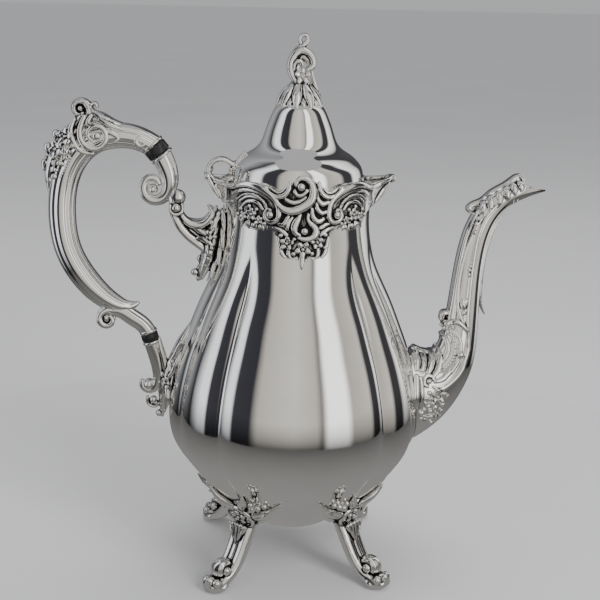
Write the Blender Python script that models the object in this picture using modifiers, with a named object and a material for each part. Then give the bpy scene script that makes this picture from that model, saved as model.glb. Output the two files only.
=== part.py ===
"""A silver coffee pot on four scroll feet, modelled as the separate pieces it is made of.

Metres, +Z up. The pot's axis is the Z axis and its feet stand on Z = 0. The spout points along
+X, the handle along -X, and the lid's hinge pin lies along Y on the handle side.
Lengths below are in millimetres, and MM turns them into metres when a mesh is made.
"""

from math import atan2, cos, degrees, hypot, pi, radians, sin, sqrt

import bmesh
import bpy
from mathutils import Matrix, Vector

MM = 0.001
GAP = 0.35              # clearance between pieces that touch or are soldered together
SILVER_WALL = 1.2       # sheet of the body, the lid and the spout

# Body: radius and height down the middle of a lobe, from the mouth to the bottom.
BODY_PROFILE = [
    (38.4, 204), (38.1, 193), (39.3, 182), (41.9, 171), (46.6, 160), (52.0, 148.5), (56.8, 136.5),
    (61.2, 125), (65.4, 111), (68.1, 97.5), (68.9, 86), (67.2, 74), (62.3, 64.5), (56.9, 57),
    (51.5, 50), (45.0, 43.3), (37.0, 36), (28.5, 29.2), (19.0, 23.4), (9.0, 20.5),
]
BODY_BOTTOM = 20.0
BODY_STEPS = 36
RIM_STEPS = 72
PANEL_EDGES = (-70, -40, 40, 70, 110, 140, 220, 250, 290)   # creases, degrees from the -Y normal
CREASE_DEPTH = 2.8
CREASE_TOP = (186, 152)       # the creases fade out between these heights under the neck
CREASE_BOTTOM = (24, 44)      # and between these heights under the belly

# Lid: radius and height of its outer face, from its edge up to the finial.
LID_PROFILE = [
    (35.3, 212.6), (34.6, 215.5), (33.9, 219.2), (32.9, 222.1), (30.8, 224.8), (28.1, 227.3),
    (23.9, 230.0), (20.6, 233.2), (18.5, 237.8), (16.8, 243.0), (14.7, 248.2), (12.2, 252.6),
    (8.0, 255.6), (2.6, 257.0),
]
LID_STEPS = 36
COLLAR_INNER = 33.8
COLLAR_OUTER = 38.3
COLLAR_HEIGHTS = (204 + GAP, 212.2)
FLANGE_INNER = 31.3
FLANGE_OUTER = 32.7
FLANGE_HEIGHTS = (205.5, 214.0)
FINIAL_TOP = 290.0
VENT_DIAMETER = 1.8

# Hinge: the pin's axis is parallel to Y through this point.
HINGE_X = -41.6
HINGE_Z = 211.5
KNUCKLE_RADIUS = 2.6
PIN_RADIUS = 1.1
PIN_HOLE_RADIUS = 1.45
LID_KNUCKLE_HALF = 3.0
BARREL_HALF = 8.4

SPOUT_TIP_X = 134.0
HANDLE_X = -134.0
STRAINER_HOLE_RADIUS = 1.9
INSULATOR_TENON = 2.6         # radius of the tenons that key the insulators into the castings
CROSS_PIN_RADIUS = 0.8
FOOT_AZIMUTH = -45.0          # the front right foot; the others are its mirror images

for old in list(bpy.data.objects):
    bpy.data.objects.remove(old)

pot = bpy.data.collections.new("coffee_pot")
cutters = bpy.data.collections.new("cutters")
for collection in (pot, cutters):
    bpy.context.scene.collection.children.link(collection)


def make_material(name, color, roughness, metallic):
    material = bpy.data.materials.new(name)
    material.use_nodes = True
    shader = material.node_tree.nodes["Principled BSDF"]
    shader.inputs["Base Color"].default_value = (*color, 1)
    shader.inputs["Roughness"].default_value = roughness
    shader.inputs["Metallic"].default_value = metallic
    return material


polished = make_material("polished_silver", (0.86, 0.85, 0.82), 0.12, 1)
chased = make_material("chased_silver", (0.66, 0.65, 0.63), 0.3, 1)
inner_silver = make_material("inner_silver", (0.7, 0.68, 0.63), 0.35, 1)
insulator_black = make_material("black_insulator", (0.02, 0.02, 0.022), 0.3, 0)


# General helpers

def add_object(name, mesh, material=None, helper=False):
    """Links a new object, either as a piece of the pot or as a hidden cutter or tool."""
    obj = bpy.data.objects.new(name, mesh)
    (cutters if helper else pot).objects.link(obj)
    if helper:
        obj.hide_render = True
        obj.display_type = "WIRE"
    if material:
        mesh.materials.clear()
        mesh.materials.append(material)
    return obj


def mesh_from_bmesh(name, bm, smooth_angle=40):
    mesh = bpy.data.meshes.new(name)
    bm.to_mesh(mesh)
    bm.free()
    mesh.shade_smooth()
    mesh.set_sharp_from_angle(angle=radians(smooth_angle))
    return mesh


def evaluated_mesh(obj):
    """The object's mesh with its modifiers, in world space, with coincident points joined."""
    bpy.context.view_layer.update()
    graph = bpy.context.evaluated_depsgraph_get()
    mesh = bpy.data.meshes.new_from_object(obj.evaluated_get(graph))
    mesh.transform(obj.matrix_world)
    bm = bmesh.new()
    bm.from_mesh(mesh)
    bmesh.ops.remove_doubles(bm, verts=bm.verts, dist=1e-6)
    bm.to_mesh(mesh)
    bm.free()
    return mesh


def smooth_path(points, pieces):
    """A Catmull-Rom curve through points of any dimension, with this many pieces per span."""
    ends = [points[0], *points, points[-1]]
    path = []
    for p0, p1, p2, p3 in zip(ends, ends[1:], ends[2:], ends[3:]):
        for i in range(pieces):
            t = i / pieces
            path.append(tuple(
                0.5 * (2 * b + (c - a) * t + (2 * a - 5 * b + 4 * c - d) * t**2
                       + (3 * b - a - 3 * c + d) * t**3)
                for a, b, c, d in zip(p0, p1, p2, p3)
            ))
    path.append(points[-1])
    return path


def tube(name, points, pieces=1, sides=8, widen=1.0):
    """A closed tapering tube through (x, y, z, radius) points, widened along Y about its path."""
    path = smooth_path(points, pieces)
    curve = bpy.data.curves.new(name, "CURVE")
    curve.dimensions = "3D"
    curve.bevel_depth = MM
    curve.bevel_resolution = (sides - 4) // 2
    curve.use_fill_caps = True
    spline = curve.splines.new("POLY")
    spline.points.add(len(path) - 1)
    for point, (x, y, z, radius) in zip(spline.points, path):
        point.co = (x * MM, y * MM / widen, z * MM, 1)
        point.radius = radius
    swept = add_object(name, curve, helper=True)
    mesh = evaluated_mesh(swept)
    bpy.data.objects.remove(swept)
    for vertex in mesh.vertices:
        vertex.co.y *= widen
    return add_object(name, mesh, helper=True)


def ellipsoid(name, centre, radii, tilt=0.0, segments=12):
    """A ball squashed to three radii, then tilted about Y."""
    bm = bmesh.new()
    bmesh.ops.create_uvsphere(bm, u_segments=segments, v_segments=segments // 2, radius=MM)
    place = (Matrix.Translation(Vector(centre) * MM) @ Matrix.Rotation(radians(tilt), 4, "Y")
             @ Matrix.Diagonal((*radii, 1)))
    bmesh.ops.transform(bm, matrix=place, verts=bm.verts)
    return add_object(name, mesh_from_bmesh(name, bm), helper=True)


def box(name, low, high):
    bm = bmesh.new()
    bmesh.ops.create_cube(bm, size=1)
    size = Vector(high) - Vector(low)
    centre = (Vector(high) + Vector(low)) / 2
    place = Matrix.Translation(centre * MM) @ Matrix.Diagonal((*(size * MM), 1))
    bmesh.ops.transform(bm, matrix=place, verts=bm.verts)
    return add_object(name, mesh_from_bmesh(name, bm), helper=True)


def rod(name, start, end, radius, sides=16):
    """A straight cylinder between two points."""
    start, end = Vector(start), Vector(end)
    along = end - start
    bm = bmesh.new()
    bmesh.ops.create_cone(
        bm, cap_ends=True, segments=sides, radius1=radius * MM, radius2=radius * MM,
        depth=along.length * MM,
    )
    turn = along.to_track_quat("Z", "Y").to_matrix().to_4x4()
    bmesh.ops.transform(bm, matrix=Matrix.Translation((start + end) / 2 * MM) @ turn, verts=bm.verts)
    return add_object(name, mesh_from_bmesh(name, bm), helper=True)


def ring(name, major, minor, centre, segments=28, sides=8):
    """A torus whose axis is parallel to Y."""
    bpy.ops.mesh.primitive_torus_add(
        major_radius=major * MM, minor_radius=minor * MM, major_segments=segments,
        minor_segments=sides, location=Vector(centre) * MM, rotation=(pi / 2, 0, 0),
    )
    made = bpy.context.object
    mesh = evaluated_mesh(made)
    bpy.data.objects.remove(made)
    return add_object(name, mesh, helper=True)


def turned(name, profile, steps, material=None, helper=False):
    """Turns a profile of (radius, height) points, running down its outer side, about Z."""
    mesh = bpy.data.meshes.new(name)
    points = [(radius * MM, 0, height * MM) for radius, height in profile]
    mesh.from_pydata(points, [(i, i + 1) for i in range(len(points) - 1)], [])
    obj = add_object(name, mesh, material, helper)
    screw = obj.modifiers.new("turn", "SCREW")
    screw.steps = screw.render_steps = steps
    screw.use_merge_vertices = True
    screw.merge_threshold = 0.00001
    screw.use_smooth_shade = True
    return obj


def turned_ring(name, inner, outer, heights, steps, material):
    """A plain ring, turned from a closed rectangle."""
    low, high = heights
    profile = [(inner, high), (outer, high), (outer, low), (inner, low), (inner, high)]
    return turned(name, profile, steps, material)


def boolean(obj, tools, operation):
    for tool in tools:
        step = obj.modifiers.new(tool.name, "BOOLEAN")
        step.operation = operation
        step.solver = "EXACT"
        step.object = tool


def casting(name, shapes, cuts, material):
    """One solid piece: the first shape joined with the rest, then cut clear of its neighbours."""
    piece = shapes[0]
    cutters.objects.unlink(piece)
    pot.objects.link(piece)
    piece.name = name
    piece.hide_render = False
    piece.display_type = "TEXTURED"
    boolean(piece, shapes[1:], "UNION")
    boolean(piece, cuts, "DIFFERENCE")
    mesh = evaluated_mesh(piece)
    mesh.shade_smooth()
    mesh.set_sharp_from_angle(angle=radians(40))
    piece.modifiers.clear()
    piece.data = mesh
    mesh.materials.clear()
    mesh.materials.append(material)
    for tool in shapes[1:]:
        bpy.data.objects.remove(tool)
    return piece


def skin(bm, rings):
    """Faces between successive rings of bmesh vertices."""
    count = len(rings[0])
    for upper, lower in zip(rings, rings[1:]):
        for i in range(count):
            j = (i + 1) % count
            bm.faces.new((upper[i], lower[i], lower[j], upper[j]))


# The body's form, which the castings that lie on it follow

def ramp(value, start, end):
    """0 at start, 1 at end, eased."""
    t = min(max((value - start) / (end - start), 0), 1)
    return t * t * (3 - 2 * t)


def crease_depth(azimuth, height):
    """How far the body lies inside its lobed outline at this azimuth, in degrees, and height."""
    turn = (azimuth + 90 + 70) % 360 - 70
    for left, right in zip(PANEL_EDGES, PANEL_EDGES[1:]):
        if left <= turn <= right:
            width = right - left
            across = abs(2 * (turn - left) / width - 1)
            fade = ramp(height, *CREASE_TOP) * ramp(height, *CREASE_BOTTOM)
            return CREASE_DEPTH * fade * across ** max(width / 12, 2)
    return 0.0


def profile_radius(height):
    """Radius of the middle of a lobe at this height."""
    for (r1, z1), (r2, z2) in zip(BODY_PROFILE, BODY_PROFILE[1:]):
        if z2 <= height <= z1:
            return r2 + (r1 - r2) * (height - z2) / (z1 - z2)
    return BODY_PROFILE[0][0]


def body_radius(azimuth, height):
    return profile_radius(height) - crease_depth(azimuth, height)


def body_x(y, height):
    """The X of the body's surface on the +X side, at this Y and height."""
    x = profile_radius(height)
    for _ in range(4):
        radius = body_radius(degrees(atan2(y, x)), height)
        x = sqrt(max(radius**2 - y**2, 0))
    return x


def body_rings(bm, offset):
    """The body's rings of vertices, moved outwards by offset along the profile's normal."""
    rings = []
    for i, (radius, height) in enumerate(BODY_PROFILE):
        r1, z1 = BODY_PROFILE[max(i - 1, 0)]
        r2, z2 = BODY_PROFILE[min(i + 1, len(BODY_PROFILE) - 1)]
        length = hypot(r2 - r1, z2 - z1)
        out, up = (z1 - z2) / length, (r2 - r1) / length
        ring_points = []
        for step in range(BODY_STEPS):
            azimuth = step * 360 / BODY_STEPS
            r = radius - crease_depth(azimuth, height) + out * offset
            place = Vector((r * cos(radians(azimuth)), r * sin(radians(azimuth)), height + up * offset))
            ring_points.append(bm.verts.new(place * MM))
        rings.append(ring_points)
    return rings


def body_form(name, offset, helper, material=None):
    bm = bmesh.new()
    rings = body_rings(bm, offset)
    skin(bm, rings)
    bottom = bm.verts.new(Vector((0, 0, BODY_BOTTOM - offset)) * MM)
    last = rings[-1]
    for i, vertex in enumerate(last):
        bm.faces.new((vertex, bottom, last[(i + 1) % len(last)]))
    if helper:
        bm.faces.new(rings[0])
    bmesh.ops.recalc_face_normals(bm, faces=bm.faces)
    return add_object(name, mesh_from_bmesh(name, bm, 60), material, helper)


body_clearance = body_form("body_clearance", GAP, helper=True)


def build_body():
    shell = body_form("body_shell", 0, helper=False, material=polished)
    wall = shell.modifiers.new("wall", "SOLIDIFY")
    wall.thickness = SILVER_WALL * MM
    wall.offset = -1
    holes = []
    for row, (height, count) in enumerate(((83, 2), (92, 3), (101, 3), (110, 2))):
        for i in range(count):
            y = (i - (count - 1) / 2) * 7.5
            holes.append(rod(f"strainer_{row}_{i}", (56, y, height), (74, y, height),
                             STRAINER_HOLE_RADIUS, sides=10))
    boolean(shell, holes, "DIFFERENCE")


# Mouth, rim and lid

def rim_edges(azimuth):
    """(bottom, top, flare) of the cast rim at this azimuth: heights, and how far its top leans out."""
    front = abs((azimuth + 360) % 180 - 90)         # degrees from the middle of the front or back
    side = 90 - front                               # degrees from the spout's or handle's line
    drop = 20.5 * (1 - ramp(front, 2, 17))
    corner = 3.5 * ramp(front, 18, 26) * (1 - ramp(front, 44, 56))
    lift = 5.0 * ramp(front, 50, 66)
    bottom = 196 - drop - corner + lift
    scroll = 4.6 * (1 - ramp(front, 3, 15)) + 2.2 * ramp(front, 20, 32)
    tip = 1 - ramp(side, 4, 30)
    top = 213.5 + scroll + 1.6 * tip
    return bottom, top, 10.5 * tip**1.5


def build_rim():
    rows = 5
    thickness = 2.9
    bm = bmesh.new()
    sections = []
    for step in range(RIM_STEPS):
        azimuth = step * 360 / RIM_STEPS
        bottom, top, flare = rim_edges(azimuth)
        inner, outer = [], []
        for row in range(rows):
            t = row / (rows - 1)
            height = top + (bottom - top) * t
            lean = flare * (1 - t) ** 1.3
            near = max(body_radius(azimuth, min(height, 204)), COLLAR_OUTER) + GAP + lean
            bulge = thickness * (0.62 + 0.38 * sin(pi * t))
            for radius, side in ((near, inner), (near + bulge, outer)):
                place = (radius * cos(radians(azimuth)), radius * sin(radians(azimuth)), height)
                side.append(bm.verts.new(Vector(place) * MM))
        sections.append(outer + inner[::-1])
    skin(bm, [list(ring_points) for ring_points in [*sections, sections[0]]])
    bmesh.ops.recalc_face_normals(bm, faces=bm.faces)
    rim = add_object("rim_blank", mesh_from_bmesh("rim_blank", bm), helper=True)
    # Room for the hinge's barrel, and the slot that the lid's loop swings through.
    hinge_room = box("hinge_room", (HINGE_X - 3.2, -9.2, 205.4), (-36, 9.2, 225))
    loop_room = box("loop_room", (-60, -4.6, 203.6), (-34, 4.6, 227))
    boolean(hinge_room, [loop_room], "UNION")
    casting("rim_mount", [rim], [hinge_room], chased)


def build_collar():
    turned_ring("mouth_collar", COLLAR_INNER, COLLAR_OUTER, COLLAR_HEIGHTS, LID_STEPS, polished)


def offset_profile(profile, distance):
    """The profile moved outwards along its own normals."""
    moved = []
    for i, (radius, height) in enumerate(profile):
        r1, z1 = profile[max(i - 1, 0)]
        r2, z2 = profile[min(i + 1, len(profile) - 1)]
        length = hypot(r2 - r1, z2 - z1)
        moved.append((radius + distance * (z2 - z1) / length, height - distance * (r2 - r1) / length))
    return moved


lid_form = offset_profile(LID_PROFILE, GAP)[::-1]
lid_clearance = turned("lid_clearance", [(0, lid_form[0][1]), *lid_form, (0, lid_form[-1][1])],
                       LID_STEPS, helper=True)


def build_lid():
    inside = offset_profile(LID_PROFILE, -SILVER_WALL)
    inside[0] = (inside[0][0], LID_PROFILE[0][1])
    stud_hole = 2.6
    inside[-1] = (stud_hole, inside[-1][1])
    profile = [*LID_PROFILE[::-1], *inside, LID_PROFILE[-1]]
    lid = turned("lid_shell", profile, LID_STEPS, polished)
    vent_azimuth = radians(-58)
    vent_foot = Vector((9 * cos(vent_azimuth), 9 * sin(vent_azimuth), 245))
    vent_top = Vector((17 * cos(vent_azimuth), 17 * sin(vent_azimuth), 252))
    boolean(lid, [rod("vent", vent_foot, vent_top, VENT_DIAMETER / 2, sides=10)], "DIFFERENCE")
    seat = 0.9
    low, high = FLANGE_HEIGHTS
    profile = [(FLANGE_INNER, high), (FLANGE_OUTER - seat, high), (FLANGE_OUTER, high - seat),
               (FLANGE_OUTER, low), (FLANGE_INNER, low), (FLANGE_INNER, high)]
    turned("lid_flange", profile, LID_STEPS, polished)


def build_finial():
    skirt_profile = [(0, 266), (3.6, 265.6), (5.6, 262.5), (9.0, 259), (12.0, 255.6), (12.9, 252.4),
                     (10, 250), (0, 250)]
    skirt = turned("skirt", skirt_profile, 24, helper=True)
    solid_skirt = add_object("solid_skirt", evaluated_mesh(skirt), helper=True)
    bpy.data.objects.remove(skirt)
    big_scroll = tube("big_scroll", [
        (2, 0, 262, 4.2), (-3.5, 0, 265.5, 4.0), (-5.6, 0, 271.5, 3.2), (-2.5, 0, 278, 3.0),
        (2.8, 0, 281.5, 2.4), (2.4, 0, 285.5, 1.9), (0.6, 0, 287.6, 2.2),
    ])
    side_scroll = tube("side_scroll", [
        (3, 0, 262, 4.0), (5.6, 0, 268, 2.8), (5.8, 0, 274, 2.4), (2.2, 0, 277.4, 2.4),
        (-0.8, 0, 274.5, 2.2),
    ])
    top = ellipsoid("finial_tip", (0.9, 0, FINIAL_TOP - 2.2), (2.3, 2.0, 2.2))
    flower = ellipsoid("finial_flower", (0.6, 0, 268.6), (5.2, 5.4, 5.2))
    stud_room = rod("stud_room", (0, 0, 250), (0, 0, 264), 1.9 + GAP, sides=16)
    casting("finial", [solid_skirt, big_scroll, side_scroll, top, flower],
            [lid_clearance, stud_room], chased)
    stud = rod("stud", (0, 0, 249), (0, 0, 263.4), 1.9)
    casting("finial_stud", [stud], [], inner_silver)
    nut = rod("nut", (0, 0, 250.6), (0, 0, 254.4), 4.2, sides=6)
    bore = rod("nut_bore", (0, 0, 250), (0, 0, 255), 1.9 + GAP)
    casting("finial_nut", [nut], [bore], inner_silver)


def build_hinge():
    axis = Vector((HINGE_X, 0, HINGE_Z))

    def along(y):
        return axis + Vector((0, y, 0))

    bore = rod("hinge_bore", along(-12), along(12), PIN_HOLE_RADIUS)
    pin = rod("pin", along(-BARREL_HALF), along(BARREL_HALF), PIN_RADIUS)
    casting("hinge_pin", [pin], [], inner_silver)

    knuckle_start = LID_KNUCKLE_HALF + GAP
    plate = box("leaf_plate", (HINGE_X - 2.4, -BARREL_HALF, 205.8), (HINGE_X + 2.4, BARREL_HALF, 208.4))
    shapes = [plate]
    for side in (-1, 1):
        shapes.append(rod("knuckle", along(side * knuckle_start), along(side * BARREL_HALF), KNUCKLE_RADIUS))
        ends = sorted((side * knuckle_start, side * BARREL_HALF))
        shapes.append(box("web", (HINGE_X - 2.2, ends[0], 208), (HINGE_X + 2.2, ends[1], 210.2)))
    casting("hinge_body_leaf", shapes, [bore], polished)

    lid_knuckle = rod("lid_knuckle", along(-LID_KNUCKLE_HALF), along(LID_KNUCKLE_HALF), KNUCKLE_RADIUS)
    loop = ring("loop", 5.6, 1.6, (-39.9, 0, 219.7))
    curl = ellipsoid("loop_curl", (-46.8, 0, 220.4), (2.4, 1.9, 2.0))
    tongue = tube("tongue", [(-34.6, 0, 222.2, 2.0), (-32.6, 0, 224.6, 2.2), (-28.6, 0, 228.4, 1.2)],
                  widen=1.5)
    foot = ellipsoid("loop_foot", (-35.2, 0, 217), (2.3, 4.2, 3.2))
    casting("hinge_lid_leaf", [loop, lid_knuckle, curl, tongue, foot], [bore, lid_clearance], polished)


# Spout

# Centre (x, z), the direction of the section's normal in degrees above +X, and the half height
# across the spout and half width along Y of each section, from the body to the lip.
SPOUT_SECTIONS = [
    (66.0, 94.0, 0, 26.0, 17.5), (75.5, 98.6, 16, 20.3, 15.8), (83.0, 105.5, 33, 15.6, 13.4),
    (88.8, 116.0, 52, 12.4, 11.4), (91.4, 130.5, 73, 10.0, 9.8), (92.5, 147.0, 83, 8.7, 8.7),
    (93.6, 164.0, 84, 7.9, 7.9), (96.0, 181.0, 78, 7.4, 7.3), (100.3, 193.6, 65, 7.0, 6.9),
    (108.0, 203.6, 44, 6.4, 6.4), (117.0, 208.6, 20, 5.6, 5.8), (125.5, 210.0, 2, 4.9, 5.2),
]
SPOUT_STEPS = 20


def spout_ring(bm, section, inset):
    x, z, tilt, height, width = section
    lean = radians(tilt)
    points = []
    for step in range(SPOUT_STEPS):
        angle = 2 * pi * step / SPOUT_STEPS
        across = (height - inset) * sin(angle)
        y = (width - inset) * cos(angle)
        place = Vector((x - across * sin(lean), y, z + across * cos(lean)))
        if section is SPOUT_SECTIONS[0]:
            place.x = body_x(y, place.z) + 1.3 * GAP
        points.append(bm.verts.new(place * MM))
    return points


def build_spout():
    bm = bmesh.new()
    outer = [spout_ring(bm, section, 0) for section in SPOUT_SECTIONS]
    inner = [spout_ring(bm, section, SILVER_WALL) for section in SPOUT_SECTIONS]
    skin(bm, [*outer, *inner[::-1], outer[0]])
    bmesh.ops.recalc_face_normals(bm, faces=bm.faces)
    spout = add_object("spout_blank", mesh_from_bmesh("spout_blank", bm), helper=True)
    # The beak: the mouth's lower lip, which runs on to a point under the stream.
    lip = tube("lip", [(118.5, 0, 206.4, 1.7), (124.5, 0, 207.3, 2.6), (130, 0, 208.5, 2.0),
                       (SPOUT_TIP_X - 0.1, 0, 209.3, 0.9)], widen=1.5)
    channel = tube("lip_channel", [(112, 0, 206.4, 4.4), (117, 0, 208.9, 4.4), (125.5, 0, 210.8, 4.0),
                                   (140, 0, 213.8, 4.0)], sides=12)
    hook = tube("hook", [(100.5, 0, 165, 0.8), (102.9, 0, 150, 1.2), (102.6, 0, 141, 0.7)])
    curl = tube("leaf_curl", [(104, 0, 207.5, 2.4), (97.5, 0, 204, 2.6), (92.6, 0, 199.3, 1.6)], widen=1.6)
    bump = ellipsoid("lip_leaf", (117.6, 0, 215.2), (3.4, 3.0, 3.2))
    scroll = ellipsoid("base_scroll", (79.6, 0, 121.2), (3.2, 5.0, 2.8))
    casting("spout", [spout, lip, hook, curl, bump, scroll], [channel], polished)


# Handle

UPPER_JOINT = Vector((-74.0, 0, 229.2))
UPPER_SLOPE = 50.0            # degrees below horizontal, from the grip towards the body
LOWER_JOINT = Vector((-78.9, 0, 128.4))
LOWER_SLOPE = 74.0
JOINTS = {
    "upper": (UPPER_JOINT, UPPER_SLOPE, 6.2, 5.6),    # centre, slope, radius and length of the insulator
    "lower": (LOWER_JOINT, LOWER_SLOPE, 4.5, 4.2),
}


def joint_direction(slope):
    return Vector((cos(radians(slope)), 0, -sin(radians(slope))))


def joint_cutters(which):
    """The cutters at this joint: the insulator's gap, its tenons' bore, a cross pin hole on each
    side, and what lies beyond the joint on each side."""
    centre, slope, radius, length = JOINTS[which]
    way = joint_direction(slope)
    half = length / 2 + GAP
    bore = tenon_radius(which) + GAP
    made = {
        "gap": rod(f"{which}_gap", centre - way * half, centre + way * half, radius + 4),
        "bore": rod(f"{which}_bore", centre - way * (half + 6.5), centre + way * (half + 6.5), bore),
    }
    for side, piece in ((-1, "grip"), (1, "socket")):
        middle = centre + way * side * (length / 2 + 3.6)
        reach = Vector((0, 12, 0))
        hole = rod(f"{which}_{piece}_pin_hole", middle - reach, middle + reach, CROSS_PIN_RADIUS + GAP, 12)
        made[f"{piece}_hole"] = hole
        made[f"beyond_{piece}"] = rod(f"beyond_{which}_{piece}", centre, centre - way * side * 14, radius + 5)
    return made


def tenon_radius(which):
    return INSULATOR_TENON * JOINTS[which][2] / JOINTS["upper"][2]


upper_cutters = joint_cutters("upper")
lower_cutters = joint_cutters("lower")


def cuts_for(cutters_here, piece):
    """The cuts of the grip or of a socket at one joint."""
    return [cutters_here[key] for key in ("gap", "bore", f"{piece}_hole", f"beyond_{piece}")]


def build_insulators():
    for which, made in (("upper", upper_cutters), ("lower", lower_cutters)):
        centre, slope, radius, length = JOINTS[which]
        way = joint_direction(slope)
        disc = rod("disc", centre - way * length / 2, centre + way * length / 2, radius, sides=24)
        reach = way * (length / 2 + 6)
        core = rod("core", centre - reach, centre + reach, tenon_radius(which))
        casting(f"{which}_insulator", [disc, core], [made["grip_hole"], made["socket_hole"]],
                insulator_black)
        for side, piece in ((-1, "grip"), (1, "socket")):
            middle = centre + way * side * (length / 2 + 3.6)
            half_pin = Vector((0, radius - 1.4, 0))
            pin = rod("cross_pin", middle - half_pin, middle + half_pin, CROSS_PIN_RADIUS, sides=12)
            casting(f"pin_{which}_{piece}", [pin], [], inner_silver)


def build_grip():
    main = tube("main_scroll", [
        (-70.5, 0, 225.0, 6.1), (-75.5, 0, 231.0, 6.1), (-80.2, 0, 233.8, 6.2), (-87, 0, 236.1, 6.5),
        (-95.5, 0, 236.6, 6.9), (-104.5, 0, 234.8, 7.2), (-112.5, 0, 229.6, 7.4), (-118.8, 0, 220.6, 7.3),
        (-122.6, 0, 208.5, 7.2), (-123.6, 0, 193, 7.2), (-120.8, 0, 176, 7.1), (-110.8, 0, 158.6, 6.8),
        (-99, 0, 147.9, 5.4), (-91, 0, 145.2, 3.6), (-84.6, 0, 147.2, 1.2),
    ], pieces=2, sides=10)
    lower = tube("lower_scroll", [
        (-103.5, 0, 138.2, 3.4), (-101, 0, 142.8, 3.6), (-95, 0, 143.2, 4.2), (-88.2, 0, 139.2, 4.5),
        (-82.2, 0, 134.6, 4.4), (-80.1, 0, 131.2, 4.4), (-78.7, 0, 126.5, 4.4),
    ])
    volute = ellipsoid("lower_volute", (-101.6, 0, 138.4), (4.6, 4.0, 4.6))
    crest = tube("crest", [
        (-130.8, 0, 205, 1.4), (HANDLE_X + 4.4, 0, 213.5, 4.4), (-127.6, 0, 223, 5.6), (-122, 0, 233.4, 6.6),
        (-116.4, 0, 242.4, 6.2), (-112.4, 0, 249.8, 5.8),
    ], widen=1.15)
    slope = tube("crest_slope", [(-112, 0, 245, 5.2), (-105.5, 0, 246.6, 5.0), (-99, 0, 243.4, 3.6),
                                 (-92, 0, 241.4, 2.0)], widen=1.2)
    shapes = [main, lower, volute, crest, slope]
    for side in (-1, 1):
        shapes.append(ellipsoid("rosette", (-106, side * 5.4, 237.4), (5.6, 3.6, 5.6)))
        shapes.append(ellipsoid("flower", (-121, side * 5.4, 231.8), (6.2, 3.6, 7.0)))
    casting("handle_grip", shapes, [*cuts_for(upper_cutters, "grip"), *cuts_for(lower_cutters, "grip")],
            polished)


def build_sockets():
    arm = tube("upper_arm", [
        (-75.5, 0, 231, 6.0), (-71.6, 0, 225.2, 5.9), (-68.6, 0, 217.6, 4.6), (-67.6, 0, 210, 4.2),
        (-65.6, 0, 203, 4.6), (-63.6, 0, 195, 4.4), (-58.5, 0, 186.5, 4.4), (-49, 0, 179.5, 5.0),
        (-42, 0, 177, 4.0),
    ])
    curl = tube("upper_volute", [
        (-67.8, 0, 207, 3.0), (-71, 0, 202.6, 3.0), (-77, 0, 203.2, 2.8), (-80.0, 0, 208.6, 2.6),
        (-77.4, 0, 213.4, 2.4), (-73.6, 0, 211.4, 2.2),
    ])
    branch = tube("upper_branch", [
        (-63, 0, 190.5, 3.0), (-56, 0, 191.8, 2.8), (-49.5, 0, 191, 3.0), (-44, 0, 195, 2.2),
        (-42.6, 0, 199.0, 1.0),
    ])
    plate = tube("upper_plate", [
        (-41, 0, 194, 1.6), (-42.5, 0, 186, 4.4), (-45.5, 0, 174, 5.0), (-49.5, 0, 164, 3.6),
        (-51.6, 0, 158.6, 1.6),
    ], widen=1.9)
    casting("upper_handle_socket", [arm, curl, branch, plate],
            [body_clearance, *cuts_for(upper_cutters, "socket")], polished)

    arm = tube("lower_arm", [
        (-80.1, 0, 131.2, 4.3), (-77.6, 0, 122, 4.3), (-75.6, 0, 114, 3.8), (-74.4, 0, 105.6, 3.9),
        (-74.2, 0, 98, 3.6), (-73.8, 0, 90, 2.6), (-73.4, 0, 83.4, 1.8),
    ], pieces=2, sides=10)
    ball = ellipsoid("lower_ball", (-78.2, 0, 100.2), (4.0, 4.0, 4.0))
    bead = ellipsoid("lower_bead", (-76.4, 0, 91.6), (2.4, 2.4, 2.4))
    plate = tube("lower_plate", [
        (-56.2, 0, 135, 1.4), (-62.4, 0, 125, 3.6), (-67.6, 0, 112, 4.6), (-70.4, 0, 99, 4.4),
        (-71, 0, 89, 3.0), (-70.6, 0, 82, 1.6),
    ], pieces=2, widen=1.9)
    casting("lower_handle_socket", [arm, ball, bead, plate],
            [body_clearance, *cuts_for(lower_cutters, "socket")], polished)


# Feet

def build_feet():
    """One foot is modelled along +X, turned to its place, and mirrored for the other three."""
    leg = tube("leg", [
        (34, 0, 40, 6.6), (38.4, 0, 30, 6.6), (42.6, 0, 21, 5.8), (47.6, 0, 12.4, 5.0), (54, 0, 5.8, 4.8),
        (60.6, 0, 3.4, 4.4), (65.2, 0, 4.0, 3.8),
    ], widen=1.25)
    shapes = [leg]
    shapes.append(ellipsoid("toe", (65.2, 0, 4.2), (4.0, 5.2, 4.4)))
    shapes.append(ellipsoid("toe_scroll", (57.2, 0, 10.6), (4.0, 5.6, 4.0)))
    shapes.append(ellipsoid("cartouche", (40.6, 0, 36.6), (6.2, 12.0, 11.5), tilt=45))
    for side in (-1, 1):
        shapes.append(tube("leaf", [
            (41, side * 5, 38, 6.0), (43.4, side * 16, 43.6, 4.8), (43.6, side * 26, 49, 3.4),
            (42.2, side * 33, 54.4, 1.0),
        ]))
    place = Matrix.Rotation(radians(FOOT_AZIMUTH), 4, "Z")
    for shape in shapes:
        shape.data.transform(place)
    ground = box("ground", (-90, -90, -20), (90, 90, 0))
    first = casting("foot_front_right", shapes, [ground, body_clearance], polished)
    for name, flip in (("foot_front_left", (-1, 1, 1)), ("foot_rear_right", (1, -1, 1)),
                       ("foot_rear_left", (-1, -1, 1))):
        copy = add_object(name, first.data)
        copy.scale = flip


build_body()
build_rim()
build_collar()
build_lid()
build_finial()
build_hinge()
build_spout()
build_insulators()
build_grip()
build_sockets()
build_feet()
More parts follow.
